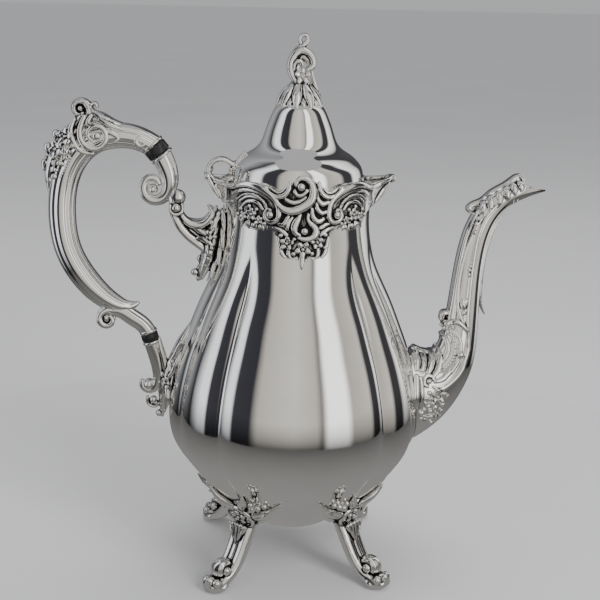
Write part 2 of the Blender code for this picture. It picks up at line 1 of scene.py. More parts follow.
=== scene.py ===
"""The looks of the silver coffee pot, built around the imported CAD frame.

Lengths are in millimetres and become metres when a mesh is made. +X is the spout's side, -X the
handle's, and Z = 0 is the table. Cast ornament is laid out with swept strokes, balls and flowers
that overlap, and each casting is then fused into one skin by a voxel remesh.
"""

from math import asin, atan2, cos, degrees, hypot, pi, radians, sin

import bpy
import numpy as np
from mathutils import Matrix, Vector


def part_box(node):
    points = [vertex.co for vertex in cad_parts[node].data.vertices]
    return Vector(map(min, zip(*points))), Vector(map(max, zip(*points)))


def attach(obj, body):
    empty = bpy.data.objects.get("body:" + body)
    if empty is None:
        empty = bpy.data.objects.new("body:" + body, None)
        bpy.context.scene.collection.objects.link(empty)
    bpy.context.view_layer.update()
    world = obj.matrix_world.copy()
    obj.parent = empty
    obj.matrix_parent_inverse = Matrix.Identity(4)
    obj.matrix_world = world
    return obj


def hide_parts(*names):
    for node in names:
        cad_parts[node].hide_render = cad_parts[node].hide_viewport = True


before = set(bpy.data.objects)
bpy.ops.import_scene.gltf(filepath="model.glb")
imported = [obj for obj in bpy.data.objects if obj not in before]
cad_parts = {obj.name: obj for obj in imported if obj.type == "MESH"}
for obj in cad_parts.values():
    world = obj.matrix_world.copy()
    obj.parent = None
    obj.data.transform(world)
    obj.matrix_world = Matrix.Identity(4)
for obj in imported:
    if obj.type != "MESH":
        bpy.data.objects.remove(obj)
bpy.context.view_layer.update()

MM = 0.001
UP = np.array([0.0, 0.0, 1.0])


# Numbers shared with the CAD design

# (radius, height) down the outside.
BODY_PROFILE = [
    (38.4, 204), (38.1, 193), (39.3, 182), (41.9, 171), (46.6, 160), (52.0, 148.5), (56.8, 136.5),
    (61.2, 125), (65.4, 111), (68.1, 97.5), (68.9, 86), (67.2, 74), (62.3, 64.5), (56.9, 57),
    (51.5, 50), (45.0, 43.3), (37.0, 36), (28.5, 29.2), (19.0, 23.4), (9.0, 20.5), (0, 20.0),
]
NECK_RADIUS, NECK_TOP = BODY_PROFILE[0]
BODY_FOOT = 24               # the body's outward normals are read no lower than this
PANEL_EDGES = (-70, -40, 40, 70, 110, 140, 220, 250, 290)
CREASE_DEPTH = 2.8
CREASE_TOP = (186, 152)
CREASE_BOTTOM = (24, 44)
LID_PROFILE = [
    (35.3, 212.6), (34.6, 215.5), (33.9, 219.2), (32.9, 222.1), (30.8, 224.8), (28.1, 227.3),
    (23.9, 230.0), (20.6, 233.2), (18.5, 237.8), (16.8, 243.0), (14.7, 248.2), (12.2, 252.6),
    (8.0, 255.6), (2.6, 257.0),
]
# (x, z, lean in degrees, half height, half width) along the spout.
SPOUT_SECTIONS = [
    (66.0, 94.0, 0, 26.0, 17.5), (75.5, 98.6, 16, 20.3, 15.8), (83.0, 105.5, 33, 15.6, 13.4),
    (88.8, 116.0, 52, 12.4, 11.4), (91.4, 130.5, 73, 10.0, 9.8), (92.5, 147.0, 83, 8.7, 8.7),
    (93.6, 164.0, 84, 7.9, 7.9), (96.0, 181.0, 78, 7.4, 7.3), (100.3, 193.6, 65, 7.0, 6.9),
    (108.0, 203.6, 44, 6.4, 6.4), (117.0, 208.6, 20, 5.6, 5.8), (125.5, 210.0, 2, 4.9, 5.2),
]
GAP = 0.35
SILVER_WALL = 1.2
FOOT_SIDES = {"foot_front_right": (1, -1), "foot_front_left": (-1, -1),
              "foot_rear_right": (1, 1), "foot_rear_left": (-1, 1)}
FOOT_AZIMUTH = -45           # of the front right foot, which the others mirror

# Numbers of the look alone

TURN_STEPS = 192             # faces round the lid and the two rings
BODY_STEPS = 288             # and round the body, which has creases to follow
COLLAR_BORE = 33.8           # inside radii of the rings at the mouth and under the lid
FLANGE_BORE = 31.3
RIM_RADIUS = 41.5            # where widths along the rim are measured
FINE_BLUR = 8                # smoothing steps that wipe out a cast groove
BROAD_BLUR = 70              # and those that wipe out the hollow between two scrolls
GROOVE_DEPTH = 0.5
HOLLOW_DEPTH = 1.3
KEPT_FACES = 0.3             # share of a casting's faces left once it is thinned
ROUND_END = [(-0.92, 0.38), (-0.55, 0.83)]   # how far out a stroke's end rings lie, and their width


# Curves and meshes

def spline(points, count):
    """A natural cubic spline through points of any dimension, at count even steps of its length."""
    points = np.asarray(points, float)
    gaps = np.linalg.norm(np.diff(points[:, :3], axis=0), axis=1)
    knots = np.concatenate([[0], np.cumsum(np.maximum(gaps, 1e-6))])
    h = np.diff(knots)
    n = len(points)
    system = np.eye(n)
    right = np.zeros_like(points)
    for i in range(1, n - 1):
        system[i, i - 1 : i + 2] = (h[i - 1], 2 * (h[i - 1] + h[i]), h[i])
        right[i] = 6 * ((points[i + 1] - points[i]) / h[i] - (points[i] - points[i - 1]) / h[i - 1])
    bend = np.linalg.solve(system, right)
    at = np.linspace(0, knots[-1], count)
    i = np.clip(np.searchsorted(knots, at, side="right") - 1, 0, n - 2)
    width = h[i][:, None]
    a = (knots[i + 1] - at)[:, None]
    b = (at - knots[i])[:, None]
    return ((bend[i] * a**3 + bend[i + 1] * b**3) / (6 * width)
            + (points[i] / width - bend[i] * width / 6) * a
            + (points[i + 1] / width - bend[i + 1] * width / 6) * b)


def ramp(value, start, end):
    t = np.clip((value - start) / (end - start), 0, 1)
    return t * t * (3 - 2 * t)


def grid_faces(rows, columns, wrap):
    """Quads over a grid of rows by columns, joined round each row if wrap."""
    i, j = np.meshgrid(np.arange(rows - 1), np.arange(columns if wrap else columns - 1), indexing="ij")
    k = (j + 1) % columns
    return np.stack([i * columns + j, (i + 1) * columns + j, (i + 1) * columns + k, i * columns + k],
                    axis=-1).reshape(-1, 4)


def closed_faces(rings, sides, turned_over=False):
    """Quads round a tube of rings, turned over if asked, and a flat face on each end."""
    quads = grid_faces(rings, sides, True)
    if turned_over:
        quads = quads[:, ::-1]
    last = (rings - 1) * sides
    ends = [tuple(range(sides)), tuple(range(last + sides - 1, last - 1, -1))]
    return [tuple(quad) for quad in quads] + ends


def mesh_of(name, points, faces):
    mesh = bpy.data.meshes.new(name)
    mesh.from_pydata([tuple(p) for p in np.asarray(points) * MM], [], [tuple(f) for f in faces])
    mesh.validate()
    mesh.shade_smooth()
    return mesh


def add_piece(name, mesh, body, nodes, material):
    """Puts a finished piece in the scene, riding on a body and standing for CAD nodes."""
    piece = bpy.data.objects.new(name, mesh)
    bpy.context.scene.collection.objects.link(piece)
    mesh.materials.clear()
    mesh.materials.append(material)
    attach(piece, body)
    if nodes:
        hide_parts(*nodes)
    return piece


class Casting:
    """Closed shells gathered into one mesh, which a voxel remesh fuses."""

    def __init__(self):
        self.points = []
        self.faces = []
        self.count = 0

    def shell(self, points, faces):
        self.points.append(np.asarray(points, float))
        self.faces.extend([tuple(int(v) + self.count for v in face) for face in faces])
        self.count += len(points)

    def sweep(self, path, normals=None, flat=1.0, sides=10, step=0.8):
        """A rounded stroke along (x, y, z, radius) points. flat squashes it along its normals."""
        path = np.asarray(path, float)
        length = np.linalg.norm(np.diff(path[:, :3], axis=0), axis=1).sum()
        count = int(np.clip(length / step, 6, 90))
        if len(path) > 2:
            line = spline(path, count)
        else:
            line = path[0] + (path[1] - path[0]) * np.linspace(0, 1, count)[:, None]
        centre = line[:, :3]
        radius = np.maximum(line[:, 3], 0.12)
        tangent = np.gradient(centre, axis=0)
        tangent /= np.linalg.norm(tangent, axis=1)[:, None]
        if normals is None:
            out = np.tile([0.0, 1.0, 0.0], (count, 1))
        elif callable(normals):
            out = np.array([normals(p) for p in centre])
        else:
            out = np.tile(np.asarray(normals, float), (count, 1))
        out = out - (out * tangent).sum(1)[:, None] * tangent
        length = np.linalg.norm(out, axis=1)
        out[length < 1e-3] = np.cross(tangent[length < 1e-3], [0.3, 0.5, 0.8])
        out /= np.linalg.norm(out, axis=1)[:, None]
        side = np.cross(tangent, out)
        angle = np.arange(sides) * 2 * pi / sides
        rings = [(centre[0] + tangent[0] * radius[0] * k, radius[0] * s, 0) for k, s in ROUND_END]
        rings += [(centre[i], radius[i], i) for i in range(count)]
        rings += [(centre[-1] - tangent[-1] * radius[-1] * k, radius[-1] * s, count - 1)
                  for k, s in ROUND_END[::-1]]
        points = np.concatenate([
            c + r * (flat * np.sin(angle)[:, None] * out[i] + np.cos(angle)[:, None] * side[i])
            for c, r, i in rings
        ])
        self.shell(points, closed_faces(len(rings), sides))

    def ball(self, centre, radii, axes=None, rows=8, columns=14):
        """An ellipsoid. axes are three unit vectors for its radii."""
        radii = np.broadcast_to(np.asarray(radii, float), 3)
        axes = np.eye(3) if axes is None else np.asarray(axes)
        points = []
        for i in range(1, rows):
            for j in range(columns):
                lat, lon = pi * i / rows, 2 * pi * j / columns
                local = np.array([sin(lat) * cos(lon), sin(lat) * sin(lon), cos(lat)]) * radii
                points.append(np.asarray(centre) + local @ axes)
        faces = [tuple(f) for f in grid_faces(rows - 1, columns, True)]
        points.append(np.asarray(centre) + np.array([0, 0, radii[2]]) @ axes)
        points.append(np.asarray(centre) - np.array([0, 0, radii[2]]) @ axes)
        top, bottom = len(points) - 2, len(points) - 1
        start = (rows - 2) * columns
        for j in range(columns):
            k = (j + 1) % columns
            faces.append((top, j, k))
            faces.append((bottom, start + k, start + j))
        self.shell(points, faces)

    def fuse(self, name, voxel=0.35, smooth=2, clip_ground=False):
        """One closed skin round everything gathered, with a cavity value on each point."""
        mesh = modified(mesh_of(name, np.concatenate(self.points), self.faces), [
            ("REMESH", {"mode": "VOXEL", "voxel_size": voxel * MM}),
            ("SMOOTH", {"factor": 0.5, "iterations": smooth}),
        ])
        if clip_ground:
            points = read_points(mesh)
            points[:, 2] = np.maximum(points[:, 2], 0.02)
            mesh.vertices.foreach_set("co", (points * MM).ravel().astype(np.float32))
        mark_cavities(mesh)
        thin = modified(mesh, [("DECIMATE", {"ratio": KEPT_FACES})])
        thin.validate()
        return thin


def modified(mesh, steps):
    """A smooth-shaded copy of a mesh with (modifier type, settings) steps applied."""
    holder = bpy.data.objects.new(mesh.name, mesh)
    bpy.context.scene.collection.objects.link(holder)
    for kind, settings in steps:
        modifier = holder.modifiers.new(kind.lower(), kind)
        for key, value in settings.items():
            setattr(modifier, key, value)
    bpy.context.view_layer.update()
    graph = bpy.context.evaluated_depsgraph_get()
    result = bpy.data.meshes.new_from_object(holder.evaluated_get(graph))
    bpy.data.objects.remove(holder)
    result.name = mesh.name
    result.shade_smooth()
    return result


def blurred_points(mesh, iterations):
    """The mesh's points after this much smoothing, in millimetres."""
    return read_points(modified(mesh, [("SMOOTH", {"factor": 0.5, "iterations": iterations})]))


def read_points(mesh, what="co"):
    values = np.empty(len(mesh.vertices) * 3, np.float32)
    mesh.vertices.foreach_get(what, values)
    return values.reshape(-1, 3) / (MM if what == "co" else 1)


def mark_cavities(mesh):
    """Stores how sunken the surface is at each point, from 0 on crests to 1 in recesses."""
    points = read_points(mesh)
    normals = read_points(mesh, "normal")
    groove = ((blurred_points(mesh, FINE_BLUR) - points) * normals).sum(1)
    hollow = ((blurred_points(mesh, BROAD_BLUR) - points) * normals).sum(1)
    cavity = np.clip(0.5 + groove / GROOVE_DEPTH + hollow / HOLLOW_DEPTH, 0, 1)
    attribute = mesh.attributes.new("cavity", "FLOAT", "POINT")
    attribute.data.foreach_set("value", cavity.astype(np.float32))


# Materials

def node_material(name):
    material = bpy.data.materials.new(name)
    material.use_nodes = True
    tree = material.node_tree
    shader = tree.nodes["Principled BSDF"]
    return material, tree, shader


def add_node(tree, kind, inputs=None, **settings):
    node = tree.nodes.new(kind)
    for key, value in settings.items():
        setattr(node, key, value)
    for key, value in (inputs or {}).items():
        if isinstance(value, bpy.types.NodeSocket):
            tree.links.new(value, node.inputs[key])
        else:
            node.inputs[key].default_value = value
    return node


def color_ramp(tree, source, stops):
    node = add_node(tree, "ShaderNodeValToRGB", {"Fac": source})
    elements = node.color_ramp.elements
    while len(elements) < len(stops):
        elements.new(0.5)
    for element, (place, color) in zip(elements, stops):
        element.position = place
        element.color = (*color, 1)
    return node.outputs["Color"]


def silver(name, bright, roughness, scratch, dark=None):
    """Silver plate: slow smudges and fine hairlines on the polish, and a dark patina if one is given."""
    material, tree, shader = node_material(name)
    shader.inputs["Metallic"].default_value = 1.0
    where = add_node(tree, "ShaderNodeTexCoord").outputs["Object"]
    smudge = add_node(tree, "ShaderNodeTexNoise", {"Vector": where, "Scale": 42.0, "Detail": 5.0,
                                                   "Roughness": 0.62})
    fine = add_node(tree, "ShaderNodeTexNoise", {"Vector": where, "Scale": 900.0, "Detail": 3.0,
                                                 "Roughness": 0.6})
    stretch = add_node(tree, "ShaderNodeMapping", {"Vector": where, "Rotation": (0.5, 0.9, 0.3),
                                                   "Scale": (2600.0, 90.0, 300.0)})
    hair = add_node(tree, "ShaderNodeTexNoise", {"Vector": stretch.outputs["Vector"], "Scale": 1.0,
                                                 "Detail": 2.0})
    low, high = roughness
    rough = add_node(tree, "ShaderNodeMapRange", {"Value": smudge.outputs["Fac"], "From Min": 0.35,
                                                  "From Max": 0.72, "To Min": low, "To Max": high})
    rough_value = rough.outputs["Result"]
    tone = color_ramp(tree, smudge.outputs["Fac"], [(0.3, bright), (0.75, [c * 0.93 for c in bright])])
    if dark:
        cavity = add_node(tree, "ShaderNodeAttribute", attribute_name="cavity").outputs["Fac"]
        grime = add_node(tree, "ShaderNodeMath", {0: fine.outputs["Fac"], 1: 0.16}, operation="MULTIPLY")
        depth = add_node(tree, "ShaderNodeMath", {0: cavity, 1: grime.outputs["Value"]}, operation="ADD")
        mask = add_node(tree, "ShaderNodeMapRange", {"Value": depth.outputs["Value"], "From Min": 0.52,
                                                     "From Max": 0.72, "To Min": 0.0, "To Max": 1.0})
        mixed = add_node(tree, "ShaderNodeMix", {"Factor": mask.outputs["Result"]}, data_type="RGBA")
        tree.links.new(tone, mixed.inputs[6])
        mixed.inputs[7].default_value = (*dark, 1)
        tone = mixed.outputs[2]
        worn = add_node(tree, "ShaderNodeMapRange", {"Value": mask.outputs["Result"], "From Min": 0.0,
                                                     "From Max": 1.0, "To Min": 0.0, "To Max": 0.38})
        total = add_node(tree, "ShaderNodeMath", {0: rough_value, 1: worn.outputs["Result"]},
                         operation="ADD")
        rough_value = total.outputs["Value"]
    tree.links.new(tone, shader.inputs["Base Color"])
    tree.links.new(rough_value, shader.inputs["Roughness"])
    height = add_node(tree, "ShaderNodeMath", {0: hair.outputs["Fac"], 1: fine.outputs["Fac"]},
                      operation="ADD")
    bump = add_node(tree, "ShaderNodeBump", {"Height": height.outputs["Value"], "Strength": scratch,
                                             "Distance": 0.00002})
    tree.links.new(bump.outputs["Normal"], shader.inputs["Normal"])
    return material


BRIGHT = [0.95, 0.94, 0.915]
polished = silver("polished_silver", BRIGHT, (0.035, 0.095), 0.1)
cast = silver("cast_silver", BRIGHT, (0.07, 0.16), 0.16, dark=(0.02, 0.019, 0.02))
inner = silver("inner_silver", [0.75, 0.72, 0.66], (0.22, 0.42), 0.3)


def insulator_material():
    material, tree, shader = node_material("black_insulator")
    where = add_node(tree, "ShaderNodeTexCoord").outputs["Object"]
    grain = add_node(tree, "ShaderNodeTexNoise", {"Vector": where, "Scale": 700.0, "Detail": 4.0})
    tone = color_ramp(tree, grain.outputs["Fac"], [(0.3, (0.008, 0.008, 0.009)),
                                                   (0.8, (0.024, 0.023, 0.024))])
    tree.links.new(tone, shader.inputs["Base Color"])
    rough = add_node(tree, "ShaderNodeMapRange", {"Value": grain.outputs["Fac"], "To Min": 0.2,
                                                  "To Max": 0.42})
    tree.links.new(rough.outputs["Result"], shader.inputs["Roughness"])
    bump = add_node(tree, "ShaderNodeBump", {"Height": grain.outputs["Fac"], "Strength": 0.25,
                                             "Distance": 0.00005})
    tree.links.new(bump.outputs["Normal"], shader.inputs["Normal"])
    return material


black = insulator_material()


# The body's form

body_line = spline([(r, z, 0) for r, z in BODY_PROFILE], 120)[:, :2]
body_line[-1] = (0, BODY_PROFILE[-1][1])
body_heights = body_line[::-1, 1]
body_radii = body_line[::-1, 0]


def crease_depth(azimuth, height):
    turn = (np.asarray(azimuth, float) + 160) % 360 - 70
    depth = np.zeros(np.broadcast(turn, height).shape)
    fade = ramp(height, *CREASE_TOP) * ramp(height, *CREASE_BOTTOM)
    for left, right in zip(PANEL_EDGES, PANEL_EDGES[1:]):
        width = right - left
        across = np.abs(2 * (turn - left) / width - 1)
        here = CREASE_DEPTH * fade * across ** max(width / 12, 2)
        depth = np.where((turn >= left) & (turn <= right), here, depth)
    return depth


def body_radius(azimuth, height):
    return np.interp(height, body_heights, body_radii) - crease_depth(azimuth, height)


def on_body(azimuth, height, lift=0.0):
    """A point this far off the body's surface, and the surface's outward normal there."""
    def at(a, z):
        r = float(body_radius(a, z))
        return np.array([r * cos(radians(a)), r * sin(radians(a)), z])

    here = at(azimuth, height)
    normal = np.cross(at(azimuth + 0.5, height) - here, at(azimuth, height + 0.5) - here)
    normal /= np.linalg.norm(normal)
    return here + normal * lift, normal


def body_normal(point):
    """The body's outward normal next to a point."""
    azimuth = degrees(atan2(point[1], point[0]))
    return on_body(azimuth, float(np.clip(point[2], BODY_FOOT, NECK_TOP - 1)))[1]


def build_body():
    steps = BODY_STEPS
    rows = body_line[:-1]
    azimuth = np.arange(steps) * 360 / steps
    radius = rows[:, 0:1] - crease_depth(azimuth[None, :], rows[:, 1:2])
    x = radius * np.cos(np.radians(azimuth))
    y = radius * np.sin(np.radians(azimuth))
    z = np.broadcast_to(rows[:, 1:2], x.shape)
    points = np.stack([x, y, z], -1).reshape(-1, 3)
    faces = [tuple(f) for f in grid_faces(len(rows), steps, True)]
    points = np.vstack([points, [0, 0, body_line[-1, 1]]])
    last = (len(rows) - 1) * steps
    faces += [(last + j, len(points) - 1, last + (j + 1) % steps) for j in range(steps)]
    mesh = mesh_of("body_skin", points, faces)
    thicken(add_piece("body_skin", mesh, "pot", ["body_shell"], polished))


def thicken(piece):
    """Gives a sheet its thickness, inwards."""
    wall = piece.modifiers.new("wall", "SOLIDIFY")
    wall.thickness = SILVER_WALL * MM
    wall.offset = -1


def turned(name, profile, steps, body, nodes, material):
    """A surface turned about Z from (radius, height) points down its outer side."""
    profile = np.asarray(profile)
    azimuth = np.arange(steps) * 2 * pi / steps
    x = profile[:, 0:1] * np.cos(azimuth)
    y = profile[:, 0:1] * np.sin(azimuth)
    z = np.broadcast_to(profile[:, 1:2], x.shape)
    mesh = mesh_of(name, np.stack([x, y, z], -1).reshape(-1, 3), grid_faces(len(profile), steps, True))
    return add_piece(name, mesh, body, nodes, material)


def build_lid():
    outside = spline([(r, z, 0) for r, z in LID_PROFILE], 90)[::-1, :2]
    thicken(turned("lid_skin", outside, TURN_STEPS, "lid", ["lid_shell"], polished))


def ring_profile(inner, outer, low, high, round_off=0.35):
    """A closed ring's section with eased corners, from the top of its outer side down and round."""
    r = round_off
    return [(inner + r, high), (outer - r, high), (outer - r * 0.3, high - r * 0.3), (outer, high - r),
            (outer, low + r), (outer - r * 0.3, low + r * 0.3), (outer - r, low), (inner + r, low),
            (inner, low + r), (inner, high - r), (inner + r, high)]


def build_rings():
    for name, node, body, inside in (("collar_ring", "mouth_collar", "pot", COLLAR_BORE),
                                     ("flange_ring", "lid_flange", "lid", FLANGE_BORE)):
        low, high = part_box(node)
        profile = ring_profile(inside, high[0] / MM, low[2] / MM, high[2] / MM)
        turned(name, profile, TURN_STEPS, body, [node], polished)


# Rim mount

# (distance round the rim from the middle of the front, height) along its two edges.
TOP_EDGE = [(0, 221.3), (3.6, 220.4), (7.6, 218.2), (11, 215.0), (15, 214.2), (20, 216.4), (27, 217.6),
            (36, 217.2), (44, 215.0), (52, 214.2), (58, 215.0), (65.2, 217.2)]
LOW_EDGE = [(0, 178.5), (3.5, 180), (8.5, 180.6), (12, 183), (13.6, 189), (16, 194), (20, 196.4),
            (25, 193.4), (31, 193.6), (37, 196.5), (42, 201), (50, 203), (58, 203.2), (65.2, 203.4)]
QUARTER = RIM_RADIUS * pi / 2
FLARE = 9.6                  # how far the rim's top leans out towards the spout and the handle
PLATE_WIDTH = 56             # half the width of the plate behind the rim's casting


def rim_flare(across):
    """How far the rim's top leans out at this distance from the middle of the front."""
    side = QUARTER - np.minimum(np.abs(across), QUARTER)
    return FLARE * (1 - ramp(side, 1.5, 15)) ** 1.4


def on_rim(across, height, lift, back=False):
    """A point off the rim's seat. across runs round it from the middle of the front or back."""
    azimuth = -90 + degrees(across / RIM_RADIUS)
    top = np.interp(abs(across), *zip(*TOP_EDGE))
    low = np.interp(abs(across), *zip(*LOW_EDGE))
    t = np.clip((height - low) / max(top - low, 1), 0, 1.1)
    seat = max(float(body_radius(azimuth, min(height, NECK_TOP))), NECK_RADIUS) + GAP
    radius = seat + float(rim_flare(across)) * t**1.3 + lift
    sign = -1 if back else 1
    angle = radians(azimuth)
    return np.array([radius * cos(angle) * sign, radius * sin(angle) * sign, height])


def rim_normal(point):
    return np.array([point[0], point[1], 0]) / hypot(point[0], point[1])


class RimOrnament:
    """Strokes, balls and flowers laid on the front or back of the rim."""

    def __init__(self, casting, back):
        self.casting = casting
        self.back = back

    def stroke(self, points, lift=1.4, flat=0.8, sides=10):
        """points are (across, height, radius)."""
        path = [(*on_rim(a, z, lift, self.back), r) for a, z, r in points]
        self.casting.sweep(path, rim_normal, flat, sides, step=0.6)

    def ball(self, across, height, radius, lift=1.8, sink=0.85):
        centre = on_rim(across, height, lift, self.back)
        self.casting.ball(centre, (radius, radius, radius * sink), tangent_axes(rim_normal(centre)))

    def flower(self, across, height, size, turn=0.0, lift=1.8):
        centre = on_rim(across, height, lift, self.back)
        add_flower(self.casting, centre, rim_normal(centre), size, turn)

    def beads(self, points, count, radius, lift=2.0):
        line = spline([(a, z, 0) for a, z in points], count)
        for a, z, _ in line:
            self.ball(a, z, radius, lift, 1)


def tangent_axes(normal):
    """Three unit vectors, the last along normal."""
    side = np.cross(UP, normal)
    if np.linalg.norm(side) < 1e-3:
        side = np.array([1.0, 0, 0])
    side = side / np.linalg.norm(side)
    return np.array([side, np.cross(normal, side), normal])


def add_flower(casting, centre, normal, size, turn=0.0, petals=5):
    """A rosette: cupped petals round a bead."""
    side, up, out = tangent_axes(np.asarray(normal, float))
    for i in range(petals):
        angle = turn + 2 * pi * i / petals
        ray = cos(angle) * side + sin(angle) * up
        across = np.cross(out, ray)
        middle = centre + ray * size * 0.62
        casting.ball(middle, (size * 0.36, size * 0.36, size * 0.2), (ray, across, out))
        casting.ball(middle + ray * size * 0.18 + out * size * 0.1, (size * 0.2, size * 0.28, size * 0.15),
                     (ray, across, out))
    casting.ball(np.asarray(centre) + out * size * 0.14, size * 0.2)


def rim_cartouche(back):
    casting = Casting()
    art = RimOrnament(casting, back)
    # Backing plate, closed between the top and low edges.
    columns, rows = 150, 34
    across = np.linspace(-PLATE_WIDTH, PLATE_WIDTH, columns)
    outer, inside = [], []
    for a in across:
        top = np.interp(abs(a), *zip(*TOP_EDGE))
        low = np.interp(abs(a), *zip(*LOW_EDGE))
        heights = np.linspace(top, low, rows)
        outer.append([on_rim(a, z, 1.5, back) for z in heights])
        inside.append([on_rim(a, z, 0.0, back) for z in heights])
    loops = np.array([np.concatenate([o, i[::-1]]) for o, i in zip(np.array(outer), np.array(inside))])
    casting.shell(loops.reshape(-1, 3), closed_faces(columns, rows * 2, turned_over=True))

    for side in (-1, 1):
        def mirrored(points, side=side):
            return [(a * side, *rest) for a, *rest in points]

        # The great side scroll, curling into a ball.
        art.stroke(mirrored([(16.6, 203.4, 0.7), (18.6, 204.8, 0.8), (20.6, 202.6, 1.0), (19.8, 199.6, 1.1),
                             (16.8, 198.4, 1.2), (13.8, 200.2, 1.3), (13.0, 204.4, 1.4), (14.6, 209.2, 1.5),
                             (18.6, 212.8, 1.6), (25, 215.4, 1.7), (33, 216.2, 1.7), (41, 214.4, 1.6),
                             (49, 213.2, 1.4), (56, 213.8, 1.2)]), lift=1.9)
        art.ball(17.5 * side, 202.3, 1.9, lift=2.6)
        # Inner leaf that fills the scroll, ending in a point.
        art.stroke(mirrored([(15.8, 206.2, 0.8), (17.6, 209.4, 1.1), (22.6, 212.4, 1.4), (29, 213.6, 1.5),
                             (37, 212.8, 1.3), (44, 209.8, 0.8)]), lift=1.3, flat=0.6)
        # Beaded arc over the flowers, with a smooth fillet inside it.
        art.stroke(mirrored([(19.8, 205.4, 0.9), (21.6, 208.4, 1.0), (26, 210.3, 1.1), (32, 210.0, 1.0),
                             (37.6, 207.0, 0.8)]), lift=1.3)
        art.beads(mirrored([(20.6, 207.6), (23.4, 210.2), (28.6, 211.6), (34, 210.8), (39, 207.8)]), 17,
                  0.55, 2.1)
        art.stroke(mirrored([(22.2, 204.6, 0.7), (24.2, 207.0, 0.8), (28, 208.1, 0.9), (32.4, 207.2, 0.8),
                             (35.8, 204.4, 0.6)]), lift=1.6)
        # Corner flowers and their leaves.
        art.flower(28.8 * side, 201.4, 3.4, 0.3)
        art.flower(34.4 * side, 200.0, 2.4, 0.9)
        art.flower(24.0 * side, 199.0, 2.2, 0.5)
        for a, z, r in ((31.6, 196.6, 1.1), (27.6, 196.0, 1.2), (23.4, 195.6, 1.1), (36.2, 203.4, 1.0),
                        (35.2, 197.4, 1.0), (38.6, 200.4, 1.0), (20.8, 197.4, 0.9), (30.2, 205.4, 0.9),
                        (25.6, 204.2, 0.9)):
            art.ball(a * side, z, r)
        for a, lean in ((22.4, -0.6), (26, -0.2), (30.4, 0.3), (34.6, 0.9)):
            art.stroke(mirrored([(a, 197.5, 0.9), (a + lean, 195.2, 0.8), (a + 1.6 * lean, 193.6, 0.3)]))
        # Swag that hangs under the notched top edge.
        art.stroke(mirrored([(7.4, 219.0, 0.8), (8.0, 215.6, 1.1), (10.6, 212.2, 1.3), (14.4, 211.4, 1.2),
                             (18.6, 213.6, 1.0), (20.8, 216.0, 0.6)]), lift=1.8)
        art.stroke(mirrored([(10.2, 215.8, 0.6), (12.4, 213.8, 0.8), (15.4, 213.8, 0.8), (18, 215.6, 0.5)]))
        # Leaf edges beside the drop.
        art.stroke(mirrored([(13.4, 190.6, 0.9), (12.4, 186.6, 1.1), (11.2, 183.2, 1.2),
                             (9.6, 181.2, 0.7)]))
        art.stroke(mirrored([(15.8, 195.8, 0.6), (12.6, 194.8, 1.0), (9.8, 193.0, 1.2), (8.2, 191.6, 0.8)]))
        art.stroke(mirrored([(14.8, 198.0, 0.5), (11.6, 197.4, 0.9), (8.6, 196.0, 1.0)]))
        art.stroke(mirrored([(6.2, 180.4, 0.4), (7.4, 182.4, 1.0), (7.6, 185.0, 1.0)]))
        # Rim moulding along the plain stretch.
        art.stroke(mirrored([(44, 206.0, 0.7), (50, 205.2, 0.8), (56, 205.6, 0.8)]), lift=1.2)

    # Middle: a crescent scroll round a ball, with fans of leaf below it.
    art.stroke([(-4.4, 217.4, 0.9), (-3.4, 220.4, 1.2), (-0.6, 221.2, 1.3), (2.6, 219.4, 1.6),
                (4.3, 215.4, 2.0), (3.6, 210.4, 2.3), (-0.6, 206.6, 2.4), (-6.2, 204.6, 2.2),
                (-11.6, 206.0, 1.7), (-14.2, 209.4, 1.1), (-13.6, 212.0, 0.5)], lift=1.9)
    art.stroke([(-5.0, 214.6, 0.7), (-4.0, 212.8, 0.9), (-1.2, 212.6, 1.0), (1.2, 214.8, 1.0)], lift=1.6)
    art.stroke([(-9.8, 210.4, 0.7), (-6.2, 208.8, 1.1), (-2.2, 209.4, 1.1), (0.6, 211.4, 0.7)], lift=1.5)
    art.ball(-1.7, 216.8, 2.0, lift=2.6)
    art.stroke([(6.4, 215.4, 0.7), (6.9, 210.8, 1.2), (9.6, 208.2, 1.4), (12.6, 208.8, 1.0)], lift=1.8)
    art.stroke([(6.2, 209.4, 0.8), (7.0, 205.6, 1.2), (9.8, 203.6, 1.2), (12.0, 204.4, 0.8)], lift=1.8)
    art.stroke([(4.0, 205.6, 0.9), (4.8, 201.6, 1.3), (7.4, 199.4, 1.4), (10.2, 200.4, 0.9)], lift=1.8)
    art.stroke([(-7.4, 203.0, 0.5), (-9.0, 199.8, 1.1), (-10.6, 197.6, 1.2), (-12.4, 197.2, 0.7)], lift=1.6)
